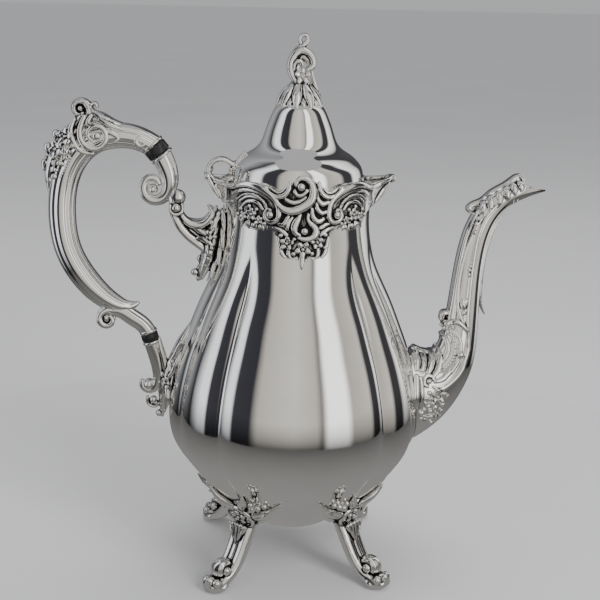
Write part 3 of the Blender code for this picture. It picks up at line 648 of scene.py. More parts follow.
    # Drop: teardrop leaves, a scroll with its ball, and three flowers.
    art.stroke([(-1.8, 203.2, 0.7), (-3.4, 200.0, 1.7), (-4.8, 196.6, 1.9), (-4.0, 193.4, 1.4),
                (-2.2, 192.6, 0.9)], lift=1.9)
    art.stroke([(-6.2, 201.0, 0.6), (-8.2, 198.2, 1.3), (-8.6, 195.8, 1.2)], lift=1.6)
    art.stroke([(2.0, 203.0, 0.7), (2.4, 199.6, 1.0), (4.4, 197.6, 1.4), (6.3, 194.6, 1.9),
                (4.8, 191.4, 1.9), (1.2, 190.4, 1.5), (-2.2, 191.0, 1.0)], lift=1.9)
    art.ball(0.4, 194.6, 1.8, lift=2.4)
    art.flower(-8.6, 188.2, 3.7, 0.2, lift=2.2)
    art.flower(-0.4, 185.4, 4.2, 0.9, lift=2.4)
    art.flower(7.0, 188.8, 3.5, 0.5, lift=2.2)
    for a, z, r in ((-11.8, 192.0, 1.1), (11.6, 192.4, 1.1), (-5.0, 183.0, 1.2), (4.4, 183.2, 1.1),
                    (-12.0, 185.4, 0.9), (11.2, 186.0, 0.9), (-4.8, 190.4, 0.9), (4.0, 189.0, 0.8)):
        art.ball(a, z, r)
    art.stroke([(-0.6, 182.0, 1.4), (-0.7, 179.4, 1.5), (-0.8, 176.8, 0.9), (-0.8, 175.4, 0.35)], lift=1.5)
    name = "rim_back" if back else "rim_front"
    add_piece(name, casting.fuse(name, voxel=0.3, smooth=1), "pot", ["rim_mount"], cast)


def rim_end(towards):
    """The rim's flared end over the spout (+1) or the handle (-1), joining front and back."""
    casting = Casting()
    columns, rows = 60, 16
    spread, notch = 13.5, 4.9
    # The handle's end is split, so that the lid's leaf can swing through the gap.
    stretches = [(-spread, spread)] if towards > 0 else [(-spread, -notch), (notch, spread)]
    for start, end in stretches:
        loops = []
        for side in np.linspace(start, end, columns):
            across = QUARTER - abs(side)
            top = np.interp(across, *zip(*TOP_EDGE))
            low = np.interp(across, *zip(*LOW_EDGE))
            heights = np.linspace(top, low, rows)
            loop = []
            for lift, order in ((2.0, heights), (0.0, heights[::-1])):
                for z in order:
                    point = on_rim(across, z, lift)
                    radius = hypot(point[0], point[1])
                    angle = side / RIM_RADIUS
                    loop.append((radius * cos(angle) * towards, radius * sin(angle), z))
            loops.append(loop)
        casting.shell(np.array(loops).reshape(-1, 3), closed_faces(columns, rows * 2))
        for edge, radius in ((TOP_EDGE, 1.25), (LOW_EDGE, 0.9)):
            path = []
            for side in np.linspace(start, end, 12):
                across = QUARTER - abs(side)
                height = np.interp(across, *zip(*edge)) - (0.5 if edge is TOP_EDGE else -0.5)
                point = on_rim(across, height, 1.0)
                reach = hypot(point[0], point[1])
                angle = side / RIM_RADIUS
                path.append((reach * cos(angle) * towards, reach * sin(angle), height, radius))
            casting.sweep(path, rim_normal, 0.9)
    if towards > 0:
        casting.ball((49.4, 0, 215.6), (3.1, 3.4, 2.3))
        for side in (-1, 1):
            casting.sweep([(49.0, 0, 215.2, 1.9), (46.2, 3.4 * side, 212.0, 2.2),
                           (42.8, 6.2 * side, 207.4, 1.9), (40.6, 8.6 * side, 204.6, 0.9)], rim_normal, 0.8)
        casting.sweep([(49.0, 0, 214.8, 2.0), (45.6, 0, 210.6, 2.4),
                       (41.8, 0, 204.8, 1.2)], rim_normal, 0.8)
    else:
        for side in (-1, 1):
            casting.ball((-47.8, 6.2 * side, 216.6), (2.0, 1.9, 1.7))
            casting.sweep([(-47.4, 6.4 * side, 215.8, 1.4), (-45.0, 7.4 * side, 211.4, 1.5),
                           (-41.8, 8.2 * side, 206.0, 0.9)], rim_normal, 0.8)
    name = "rim_lip" if towards > 0 else "rim_horns"
    add_piece(name, casting.fuse(name, voxel=0.32, smooth=2), "pot", ["rim_mount"], cast)


# Finial

def build_finial():
    casting = Casting()
    lobes = 9
    for i in range(lobes):
        angle = 2 * pi * (i + 0.4) / lobes
        ray = np.array([cos(angle), sin(angle), 0])
        path = [(*(ray * 2.5 + [0, 0, 265.5]), 1.8), (*(ray * 6.2 + [0, 0, 261.8]), 2.4),
                (*(ray * 9.6 + [0, 0, 257.6]), 2.6), (*(ray * 11.4 + [0, 0, 254.2]), 1.5)]
        casting.sweep(path, ray, 0.7)
        casting.ball(ray * 11.3 + [0, 0, 253.4], (1.5, 1.5, 1.0))
        between = np.array([cos(angle + pi / lobes), sin(angle + pi / lobes), 0])
        casting.sweep([(*(between * 5.0 + [0, 0, 262]), 0.9), (*(between * 11.0 + [0, 0, 254.4]), 1.3)],
                      between, 0.7)
    casting.sweep([(0, 0, 255, 7.5), (0, 0, 259, 6.4), (0, 0, 263, 4.6), (0, 0, 267, 3.4)], (1, 0, 0))
    for side in (-1, 1):
        y = 2.6 * side
        # The big C, open towards the spout, that holds the flower.
        casting.sweep([(10.8, y * 0.8, 254.6, 0.8), (7.0, y * 1.3, 258.2, 1.1), (1.4, y * 1.5, 262.0, 1.3),
                       (-3.2, y * 1.4, 266.4, 1.5), (-5.4, y * 1.1, 272.2, 1.7), (-3.8, y, 278.0, 1.8),
                       (1.0, y * 0.9, 281.2, 1.8), (5.6, y * 0.9, 278.2, 1.8), (6.3, y, 273.8, 1.6),
                       (3.8, y * 1.1, 271.6, 1.3)], flat=0.9)
        casting.sweep([(-3.6, y * 1.2, 271.4, 0.7), (-2.8, y * 1.3, 275.0, 1.0),
                       (-0.2, y * 1.3, 275.8, 1.1), (0.8, y * 1.2, 273.8, 0.8)], flat=0.9)
        casting.sweep([(5.8, y, 270.4, 0.8), (6.9, y, 266.2, 1.2), (8.8, y, 260.6, 1.2),
                       (10.4, y * 0.8, 256, 0.9)])
        add_flower(casting, np.array([0.8, y * 1.75, 268.2]), (0, side, 0), 4.3, 0.3)
        add_flower(casting, np.array([2.8, y * 1.5, 263.2]), (0, side, 0), 2.4, 0.9)
    # Body of the scroll between its two faces, and the loop on top.
    casting.sweep([(3.6, 0, 260, 3.6), (0.4, 0, 266, 3.8), (-2.2, 0, 272, 2.8), (0.6, 0, 278.4, 2.6),
                   (4.8, 0, 276, 2.4)])
    casting.sweep([(-5.4, 0, 276.6, 1.2), (-2.2, 0, 281.2, 1.5), (1.6, 0, 284.0, 1.4), (3.6, 0, 286.4, 1.2),
                   (2.8, 0, 288.6, 1.1), (0.8, 0, 288.7, 1.1), (-0.6, 0, 286.8, 1.1), (0.2, 0, 284.4, 1.0),
                   (2.4, 0, 281.6, 1.3)], flat=1.5)
    mesh = casting.fuse("finial_casting", voxel=0.27, smooth=1)
    add_piece("finial_casting", mesh, "lid", ["finial"], cast)


# Hinge

def build_hinge():
    casting = Casting()
    for side in (-1, 1):
        y = 1.5 * side
        casting.sweep([(-34.0, y, 216.4, 1.5), (-37.2, y, 214.6, 1.3), (-41.4, y * 0.8, 213.6, 1.2),
                       (-45.8, y * 0.8, 215.6, 1.2), (-47.2, y * 0.8, 219.6, 1.3), (-45.0, y, 223.4, 1.3),
                       (-40.8, y, 225.0, 1.3), (-36.4, y, 223.4, 1.3), (-33.4, y, 222.0, 1.3),
                       (-31.0, y, 225.0, 1.1), (-28.0, y, 228.3, 0.7)], flat=1.1)
    casting.ball((-46.6, 0, 219.8), (2.0, 2.4, 2.2))
    casting.sweep([(-34.6, 0, 214.6, 1.8), (-34.8, 0, 218.0, 1.9), (-33.6, 0, 222.6, 1.6)], flat=1.7)
    casting.sweep([(-41.6, -2.7, 211.5, 2.55), (-41.6, 2.7, 211.5, 2.55)], (0, 0, 1), sides=20)
    casting.sweep([(-39.6, 0, 213.2, 1.6), (-35.4, 0, 214.8, 1.6)], flat=1.7)
    for side in (-1, 1):
        add_flower(casting, np.array([-34.4, 3.0 * side, 218.8]), (0, side, 0), 2.4)
    mesh = casting.fuse("hinge_loop", voxel=0.28, smooth=2)
    add_piece("hinge_loop", mesh, "lid", ["hinge_lid_leaf"], cast)


# Spout

spout_line = spline(SPOUT_SECTIONS, 90)
SPOUT_STEP = float(np.linalg.norm(np.diff(spout_line[:, :2], axis=0), axis=1).mean())
LIP_START = 115.5            # the x at which the tube gives way to the open beak
SPOUT_RELIEF = 1.2           # how much thicker the spout's strokes are than their radii say
ROOT_GAP = 0.2
STROKE_SPACING = 0.7         # closer points than this would kink a stroke
# x, centre height, depth below it, half width, and degrees of wall up each side from the bottom.
LIP_SECTIONS = [
    (115.5, 207.9, 6.3, 5.95, 176), (118, 208.8, 5.7, 5.8, 160), (122, 210.0, 5.0, 5.4, 118),
    (126, 210.7, 4.1, 4.4, 96), (130, 210.7, 2.8, 2.9, 88), (133.8, 210.3, 1.3, 0.9, 80),
]


def spout_frame(place):
    """Centre, in-plane across direction, half height and half width at place from 0 to 1."""
    at = place * (len(spout_line) - 1)
    i = int(np.clip(at, 0, len(spout_line) - 2))
    x, z, tilt, height, width = spout_line[i] + (spout_line[i + 1] - spout_line[i]) * (at - i)
    lean = radians(tilt)
    return np.array([x, 0, z]), np.array([-sin(lean), 0, cos(lean)]), height, width


def on_spout(place, turn, lift):
    """A point off the spout. turn is degrees from its -Y side, positive towards its upper edge."""
    centre, across, height, width = spout_frame(place)
    a = radians(turn)
    point = centre + across * height * sin(a) + np.array([0, -width * cos(a), 0])
    normal = across * sin(a) / height + np.array([0, -cos(a) / width, 0])
    normal /= np.linalg.norm(normal)
    return point + normal * lift, normal


def beside_spout(x, z, lift):
    """A point off the spout's -Y side, seen at this x and z from the side, and the normal there."""
    lean = np.radians(spout_line[:, 2])
    dx, dz = x - spout_line[:, 0], z - spout_line[:, 1]
    along = dx * np.cos(lean) + dz * np.sin(lean)
    across = -dx * np.sin(lean) + dz * np.cos(lean)
    turn = np.clip(across / spout_line[:, 3], -1, 1)
    i = int(np.argmin(np.abs(along) + 4 * np.abs(across / spout_line[:, 3] - turn)))
    place = i + np.clip(along[i] / SPOUT_STEP, -0.5, 0.5)
    return on_spout(place / (len(spout_line) - 1), degrees(asin(turn[i])), lift)


def build_spout_tube():
    steps = 72
    rows = spout_line[spout_line[:, 0] < LIP_START + 1.5]
    loops_out, loops_in = [], []
    for row, (x, z, tilt, height, width) in enumerate(rows):
        lean = radians(tilt)
        for inset, loops in ((0, loops_out), (SILVER_WALL, loops_in)):
            ring = []
            for step in range(steps):
                a = 2 * pi * step / steps
                rise = (height - inset) * sin(a)
                y = (width - inset) * cos(a)
                px, pz = x - rise * sin(lean), z + rise * cos(lean)
                # The first ring is drawn in until it stands just off the body.
                if row == 0:
                    for _ in range(3):
                        reach = float(body_radius(degrees(atan2(y, max(px, 1))), pz))
                        px = max(reach**2 - y * y, 1) ** 0.5
                    px += ROOT_GAP
                ring.append((px, y, pz))
            loops.append(ring)
    loops = np.array(loops_out + loops_in[::-1] + loops_out[:1])
    faces = grid_faces(len(loops), steps, True)[:, ::-1]
    mesh = mesh_of("spout_tube", loops.reshape(-1, 3), faces)
    add_piece("spout_tube", mesh, "pot", ["spout"], polished)


def build_spout_lip():
    """The open beak: a gutter whose sides fall away towards its point."""
    columns, rows, thickness = 40, 29, 1.0
    line = spline(LIP_SECTIONS, columns)
    turn = np.linspace(-1, 1, rows)
    loops = []
    for x, z, down, half, opening in line:
        angle = turn * radians(opening)
        outside = np.stack([np.full(rows, x), half * np.sin(angle), z - down * np.cos(angle)], -1)
        wall = min(thickness, 0.45 * half)
        depth = max(down - wall, 0.3 * down)
        inside = np.stack([np.full(rows, x), (half - wall) * np.sin(angle), z - depth * np.cos(angle)], -1)
        loops.append(np.concatenate([outside, inside[::-1]]))
    faces = closed_faces(columns, rows * 2, turned_over=True)
    mesh = mesh_of("spout_lip", np.concatenate(loops), faces)
    add_piece("spout_lip", mesh, "pot", ["spout"], polished)


def spout_side_ornament(casting, side):
    flip = np.array([1, -side, 1])

    def stroke(points, lift=0.3, flat=0.85):
        """points are (x, z, radius) as seen from the side."""
        path, normals = [], []
        for x, z, radius in spline([(x, z, r) for x, z, r in points], 3 * len(points)):
            spot, normal = beside_spout(x, z, lift)
            spot = spot * flip
            if path and np.linalg.norm(spot - path[-1][:3]) < STROKE_SPACING:
                continue
            path.append((*spot, SPOUT_RELIEF * radius))
            normals.append(normal * flip)
        if len(path) < 2:
            return
        casting.sweep(path, np.mean(normals, axis=0), flat, step=0.6)

    def bead(x, z, radius, lift=0.5):
        casting.ball(beside_spout(x, z, lift)[0] * flip, SPOUT_RELIEF * radius)

    def flower(x, z, size, turn=0.4):
        place, normal = beside_spout(x, z, 0.5)
        add_flower(casting, place * flip, normal * flip, SPOUT_RELIEF * size, turn)

    # Border ridge, from under the lip down the side and round under the base scrolls.
    stroke([(110.6, 207.2, 0.5), (106.1, 202.4, 0.7), (100.3, 195.1, 0.8), (97.2, 187.0, 0.85),
            (95.4, 176.0, 0.9), (94.3, 164.0, 0.9), (93.6, 152.0, 0.9), (93.2, 142.0, 1.0),
            (93.6, 133.4, 1.1), (94.2, 124.7, 1.15), (92.9, 117.0, 1.2), (89.4, 109.3, 1.25),
            (84.2, 104.3, 1.25), (78.4, 102.0, 1.1), (75.0, 103.4, 0.8)])
    # Its companion, which leaves it at a fork and frames the channel.
    stroke([(99.8, 197.4, 0.4), (94.4, 187.4, 0.6), (91.2, 178.4, 0.7), (88.9, 167.8, 0.7),
            (87.8, 157.2, 0.7), (87.7, 149.0, 0.8), (89.6, 140.8, 0.9), (93.2, 134.0, 0.8)])
    # Husks in the channel.
    for x, z, radius in ((96.6, 195.0, 1.1), (95.8, 192.2, 1.0), (95.4, 189.6, 0.9), (95.0, 187.2, 0.8),
                         (93.2, 169.6, 0.8), (92.9, 167.4, 1.0), (92.8, 164.8, 0.9), (90.8, 143.6, 1.1)):
        bead(x, z, radius, 0.3)
    stroke([(89.4, 151.6, 0.5), (90.2, 149.8, 1.4), (90.6, 147.4, 1.5), (90.8, 145.0, 0.7)])
    stroke([(92.4, 151.4, 0.4), (91.8, 149.4, 1.0), (91.0, 147.0, 0.8)])
    # Scroll at the back of the bend, with its ball.
    stroke([(82.4, 143.0, 0.9), (79.9, 141.0, 1.3), (80.4, 137.6, 1.5), (83.4, 136.6, 1.7),
            (87.2, 138.2, 1.7), (90.4, 136.6, 1.4), (93.2, 133.4, 1.0)], 0.6)
    bead(82.4, 140.2, 1.9, 1.0)
    # Beaded arc, and the crescent it lies in.
    arc = spline([(82.3, 133.3, 0.9), (85.3, 130.5, 1.0), (86.9, 126.7, 1.0), (86.9, 122.4, 1.0),
                  (85.8, 118.0, 0.9), (83.5, 114.7, 0.8), (80.8, 112.0, 0.7)], 15)
    for x, z, radius in arc:
        bead(x, z, radius, 0.9)
    stroke([(84.6, 134.4, 0.7), (88.4, 130.6, 1.0), (89.9, 126.0, 1.1), (89.4, 120.6, 1.2),
            (87.4, 114.6, 1.2), (83.8, 110.0, 1.1), (79.6, 107.6, 0.8)])
    bead(90.2, 120.6, 1.7, 0.8)
    stroke([(80.2, 130.6, 0.8), (82.6, 127.6, 1.3), (83.4, 123.6, 1.5), (82.2, 118.8, 1.5),
            (79.4, 115.2, 1.2)])
    # Acanthus at the root, spreading from the body.
    for points in (
        [(66.0, 112.6, 1.3), (66.4, 117.6, 1.8), (64.6, 121.4, 1.4)],
        [(69.0, 112.0, 1.4), (70.4, 116.6, 2.0), (70.0, 120.0, 1.3)],
        [(72.2, 110.8, 1.4), (74.8, 115.4, 2.1), (75.8, 119.4, 1.3)],
        [(75.0, 108.8, 1.3), (78.2, 112.6, 1.9), (79.6, 117.6, 1.5), (79.0, 122.0, 0.8)],
        [(76.6, 106.2, 1.2), (80.4, 107.6, 1.6), (84.2, 110.8, 1.3)],
        [(64.8, 109.4, 1.3), (65.0, 103.0, 1.7), (65.4, 97.0, 1.5), (65.6, 92.6, 0.7)],
        [(67.8, 108.2, 1.2), (68.2, 102.2, 1.5), (68.6, 96.6, 1.2), (68.8, 92.0, 0.5)],
        [(75.8, 106.2, 0.8), (73.8, 108.8, 1.2), (70.8, 108.6, 1.3), (69.8, 105.8, 1.2),
         (71.6, 103.8, 1.0)],
    ):
        stroke(points, 0.5)
    bead(72.4, 106.4, 1.4, 1.0)
    # Flower spray under the scrolls.
    flower(77.7, 98.2, 3.9)
    flower(72.6, 95.2, 2.9, 0.9)
    flower(77.6, 86.6, 2.4, 0.1)
    flower(71.0, 85.4, 2.3, 0.6)
    for x, z, radius in ((76.4, 92.2, 1.5), (82.6, 98.0, 1.4), (72.8, 100.4, 1.2), (68.8, 89.4, 1.3),
                         (73.8, 90.0, 1.2), (80.6, 93.4, 1.2), (80.2, 89.8, 1.0), (75.2, 82.4, 1.1),
                         (74.6, 86.6, 1.2), (70.2, 91.2, 1.0)):
        bead(x, z, radius)
    # Acanthus lobes that lap down over the side of the lip.
    for top, tip in (((99.4, 202.6), (97.6, 197.4)), ((103.0, 205.6), (102.0, 199.6)),
                     ((107.2, 208.4), (106.6, 201.8)), ((111.0, 210.6), (111.4, 205.2)),
                     ((114.6, 212.4), (115.4, 208.0)), ((118.2, 213.4), (119.0, 210.0))):
        middle = ((top[0] + tip[0]) / 2 + 0.5, (top[1] + tip[1]) / 2)
        stroke([(*top, 1.5), (*middle, 1.7), (*tip, 0.7)], 0.3)


def build_spout():
    build_spout_tube()
    build_spout_lip()
    casting = Casting()
    for side in (-1, 1):
        spout_side_ornament(casting, side)
    # The leaf along the top of the lip, from its back curl to the bump behind the mouth.
    casting.sweep([(93.6, 0, 197.6, 1.0), (91.9, 0, 199.4, 1.5), (93.6, 0, 201.4, 1.7),
                   (98.6, 0, 203.4, 2.0), (104.2, 0, 208.0, 2.1), (110.6, 0, 211.8, 2.1),
                   (115.4, 0, 215.2, 2.2), (118.0, 0, 217.2, 1.6), (120.4, 0, 216.2, 1.4),
                   (120.9, 0, 213.6, 1.2)], flat=1.7)
    for side in (-1, 1):
        casting.ball((92.6, 2.2 * side, 199.8), (1.7, 1.2, 1.7))
        casting.ball((117.4, 2.0 * side, 215.6), (2.0, 1.6, 2.0))
        casting.ball((120.4, 2.6 * side, 213.0), (1.5, 1.3, 1.4))
    casting.sweep([(80.6, 0, 138.6, 1.7), (81.6, 0, 141.6, 1.9), (84.2, 0, 141.6, 1.7)], flat=2.0)
    casting.sweep([(66.0, 0, 121.4, 2.0), (70.2, 0, 119.6, 1.9), (75.2, 0, 119.4, 1.8),
                   (79.6, 0, 121.6, 1.2)],
                  flat=2.2)
    # Strap down the outer edge, ending in a lifted hook.
    casting.sweep([(110.4, 0, 195.6, 1.4), (106.8, 0, 189.2, 2.8), (104.3, 0, 181.6, 3.2),
                   (102.4, 0, 173.4, 3.3), (101.5, 0, 163, 3.1), (101.4, 0, 152, 2.8),
                   (102.2, 0, 145.9, 2.3), (104.2, 0, 141.4, 1.3)],
                  (1, 0, -0.1), 0.42)
    mesh = casting.fuse("spout_ornament", voxel=0.3, smooth=1)
    add_piece("spout_ornament", mesh, "pot", ["spout"], cast)


# Handle

GRIP_PATH = [
    (-75.9, 231.4, 6.0), (-80.2, 233.8, 6.2), (-87, 236.1, 6.5), (-95.5, 236.6, 6.9), (-104.5, 234.8, 7.2),
    (-112.5, 229.6, 7.4), (-118.8, 220.6, 7.3), (-122.6, 208.5, 7.2), (-123.6, 193, 7.2),
    (-120.8, 176, 7.1), (-110.8, 158.6, 6.8), (-99, 147.9, 5.4), (-91, 145.2, 3.6), (-84.6, 147.2, 0.9),
]
LOWER_PATH = [(-103.6, 138.0, 3.0), (-101.4, 142.2, 3.6), (-95, 143.2, 4.2), (-88.2, 139.2, 4.5),
              (-82.2, 134.6, 4.4), (-79.6, 130.9, 4.4)]


def moulded_rod(name, path, rows, grooves, depth, nodes):
    """A rod in the XZ plane whose section has shallow grooves at these degrees from its outer side."""
    line = spline([(x, 0, z, r) for x, z, r in path], rows)
    centre = line[:, :3]
    radius = np.maximum(line[:, 3], 0.4)
    tangent = np.gradient(centre, axis=0)
    tangent /= np.linalg.norm(tangent, axis=1)[:, None]
    steps = 72
    angle = np.arange(steps) * 2 * pi / steps
    section = np.ones(steps)
    for middle in grooves:
        gap = (np.degrees(angle) - middle + 180) % 360 - 180
        section -= depth * np.exp(-((gap / 9) ** 2))
    side = np.array([0.0, 1.0, 0.0])
    outward = np.cross(tangent, side)
    rings = []
    caps = [(-0.8, 0.5), (-0.4, 0.86)]
    rows_in = [(centre[0] + tangent[0] * radius[0] * k * 0.3, radius[0] * s, 0) for k, s in caps]
    rows_in += [(c, r, i) for i, (c, r) in enumerate(zip(centre, radius))]
    rows_in += [(centre[-1] - tangent[-1] * radius[-1] * k * 0.6, radius[-1] * s, rows - 1)
                for k, s in caps[::-1]]
    for c, r, i in rows_in:
        reach = r * section
        rings.append(c + (reach * np.cos(angle))[:, None] * outward[i]
                     + (reach * np.sin(angle))[:, None] * side)
    points = np.concatenate(rings)
    mesh = mesh_of(name, points, closed_faces(len(rings), steps))
    add_piece(name, mesh, "pot", nodes, polished)


def side_strokes(casting, side):
    """A function that lays (x, distance from the middle plane, z, radius) strokes on one side."""
    def stroke(points):
        casting.sweep([(x, out * side, z, r) for x, out, z, r in points], (0, side, 0), 0.8, step=0.7)
    return stroke


def build_handle():
    moulded_rod("grip_rod", GRIP_PATH, 150, (38, 66, 118, -38, -66, -118), 0.09, ["handle_grip"])
    moulded_rod("grip_lower_scroll", LOWER_PATH, 50, (40, -40, 130, -130), 0.1, ["handle_grip"])
    casting = Casting()
    # Top scroll, small curl behind it, and the leaf that runs down to the joint.
    casting.sweep([(-111.2, 0, 247.8, 1.4), (-114.2, 0, 247.4, 1.6), (-115.8, 0, 250.2, 1.8),
                   (-114.4, 0, 253.2, 1.9), (-111.0, 0, 253.8, 2.0), (-108.4, 0, 250.8, 2.2),
                   (-108.6, 0, 246.0, 2.4), (-111.4, 0, 241.2, 2.6), (-113.4, 0, 236.4, 2.4)], flat=2.0)
    casting.ball((-112.4, 0, 250.4), (1.9, 4.8, 1.9))
    casting.sweep([(-104.2, 0, 251.4, 1.0), (-105.2, 0, 253.0, 1.1), (-107.0, 0, 252.2, 1.2),
                   (-106.4, 0, 248.6, 1.8), (-102.4, 0, 246.4, 2.4), (-97.0, 0, 243.6, 2.2),
                   (-91.0, 0, 242.0, 1.3)], flat=2.2)
    casting.sweep([(-119.4, 0, 235.4, 4.0), (-115.2, 0, 240.2, 4.0), (-112.0, 0, 245.4, 3.2)], flat=1.3)
    casting.sweep([(-129.6, 0, 207.0, 1.0), (-129.4, 0, 214.0, 2.6), (-127.2, 0, 222.5, 3.8),
                   (-123.4, 0, 230.0, 4.6), (-118.0, 0, 237.6, 4.4)], flat=1.3)
    for y in (-1, 1):
        stroke = side_strokes(casting, y)
        # Side rosette scroll with its ball, fed by a stem from the top scroll.
        stroke([(-110.4, 4.4, 246.4, 1.1), (-112.6, 5.8, 240.6, 1.3), (-112.2, 6.9, 234.8, 1.5),
                (-108.6, 7.4, 231.0, 1.6), (-103.4, 7.4, 230.8, 1.6), (-99.9, 7.3, 234.0, 1.6),
                (-99.8, 7.2, 238.6, 1.5), (-103.2, 7.0, 241.8, 1.4), (-107.4, 6.9, 240.4, 1.2),
                (-108.6, 6.9, 236.8, 1.0), (-106.4, 7.0, 234.2, 0.8)])
        casting.ball((-104.2, 7.2 * y, 236.8), (2.3, 1.9, 2.3))
        stroke([(-106.8, 5.2, 247.0, 1.0), (-108.4, 6.2, 243.0, 1.2), (-105.0, 6.8, 242.8, 1.0)])
        stroke([(-115.4, 4.2, 245.2, 0.8), (-117.4, 5.6, 239.4, 1.3), (-116.0, 6.4, 233.6, 1.5),
                (-112.6, 6.8, 229.2, 1.3), (-106.0, 7.0, 227.8, 0.7)])
        # Leaf tips over the grip towards the upper joint.
        stroke([(-99.8, 6.6, 239.8, 1.0), (-96.2, 6.6, 238.2, 1.5), (-93.4, 6.4, 235.6, 1.2),
                (-95.4, 6.9, 233.6, 0.7)])
        stroke([(-102.8, 4.6, 245.0, 1.0), (-98.2, 5.4, 242.6, 1.6), (-93.4, 5.2, 240.6, 1.2),
                (-89.8, 5.0, 239.6, 0.5)])
        stroke([(-82.6, 6.2, 236.6, 0.8), (-84.4, 6.4, 234.0, 1.1), (-82.2, 6.2, 231.8, 0.9),
                (-79.6, 5.9, 233.0, 0.6)])
        # Flower spray down the back of the bend.
        add_flower(casting, np.array([-120.2, 5.4 * y, 236.2]), (-0.5, y, 0.3), 4.2, 0.2)
        add_flower(casting, np.array([-125.4, 4.6 * y, 229.6]), (-0.6, y, 0.2), 4.0, 0.8)
        add_flower(casting, np.array([-120.4, 6.9 * y, 227.6]), (-0.2, y, 0), 3.4, 0.5)
        add_flower(casting, np.array([-128.2, 3.4 * y, 221.4]), (-0.8, y, 0.1), 3.4, 0.4)
        for x, yy, z, r in ((-116.6, 6.9, 231.6, 1.2), (-123.6, 6.2, 222.6, 1.4), (-126.6, 4.8, 215.6, 1.7),
                            (-129.4, 2.2, 213.4, 1.5), (-125.4, 5.4, 219.0, 1.1), (-130.4, 1.6, 226.2, 1.3),
                            (-123.8, 3.2, 237.2, 1.3), (-127.2, 3.0, 209.6, 1.2),
                            (-131.6, 1.4, 219.4, 1.4)):
            casting.ball((x, yy * y, z), r)
        for i in range(8):
            t = i / 7
            casting.ball((-117.4 - 5.6 * t, 6.9 * y, 225.4 - 9.5 * t), 0.7)
        # Volute of the lower scroll.
        stroke([(-99.6, 3.0, 143.8, 1.6), (-103.4, 3.4, 142.8, 1.7), (-105.4, 3.8, 139.4, 1.8),
                (-103.8, 3.9, 136.0, 1.7), (-100.4, 3.9, 135.4, 1.5), (-98.4, 3.9, 137.8, 1.3),
                (-99.6, 3.9, 140.4, 1.0)])
    casting.ball((-131.6, 0, 221.4), (2.1, 2.6, 3.0))
    casting.ball((-129.8, 0, 230.0), (2.2, 2.6, 2.8))
    casting.ball((-125.4, 0, 237.0), (2.2, 2.8, 2.4))
    casting.ball((-101.8, 0, 139.2), (3.7, 4.4, 3.7))
    casting.ball((-99.6, 0, 145.0), (4.0, 3.6, 2.4))
    mesh = casting.fuse("grip_crest", voxel=0.32, smooth=1)
    add_piece("grip_crest", mesh, "pot", [], cast)


def round_piece(name, middle, way, radius, profile, nodes, material):
    """A solid turned about the line through middle along way. profile is (along, share of radius)."""
    side = np.array([0.0, 1.0, 0.0])
    out = np.cross(way, side)
    steps = 64
    angle = np.arange(steps) * 2 * pi / steps
    rings = [middle + way * a + radius * max(s, 0.01) * (np.cos(angle)[:, None] * out
                                                         + np.sin(angle)[:, None] * side)
             for a, s in profile]
    mesh = mesh_of(name, np.concatenate(rings), closed_faces(len(rings), steps))
    add_piece(name, mesh, "pot", nodes, material)
    return mesh


def build_insulators():
    for name, x, z, slope, radius, length in (("upper_insulator", -74.0, 229.2, 50, 6.35, 5.6),
                                              ("lower_insulator", -78.9, 128.4, 74, 4.65, 4.2)):
        way = np.array([cos(radians(slope)), 0, -sin(radians(slope))])
        middle = np.array([x, 0, z])
        half = length / 2
        profile = [(-half, 0.0), (-half, 0.86), (-half + 0.25, 0.96), (-half + 0.7, 1.0), (half - 0.7, 1.0),
                   (half - 0.25, 0.96), (half, 0.86), (half, 0.0)]
        band = round_piece(name + "_band", middle, way, radius, profile, [name], black)
        band.set_sharp_from_angle(angle=radians(50))
        # Polished ferrules that the band is clamped between.
        for end, tag in ((-1, "grip"), (1, "socket")):
            start = end * (half + 0.25)
            profile = [(start, 0.0), (start, 0.93), (start + end * 0.2, 1.02), (start + end * 0.9, 1.04),
                       (start + end * 1.5, 1.0), (start + end * 1.7, 0.9), (start + end * 1.7, 0.0)]
            round_piece(f"{name}_{tag}_ferrule", middle, way, radius, profile, [],
                        polished)


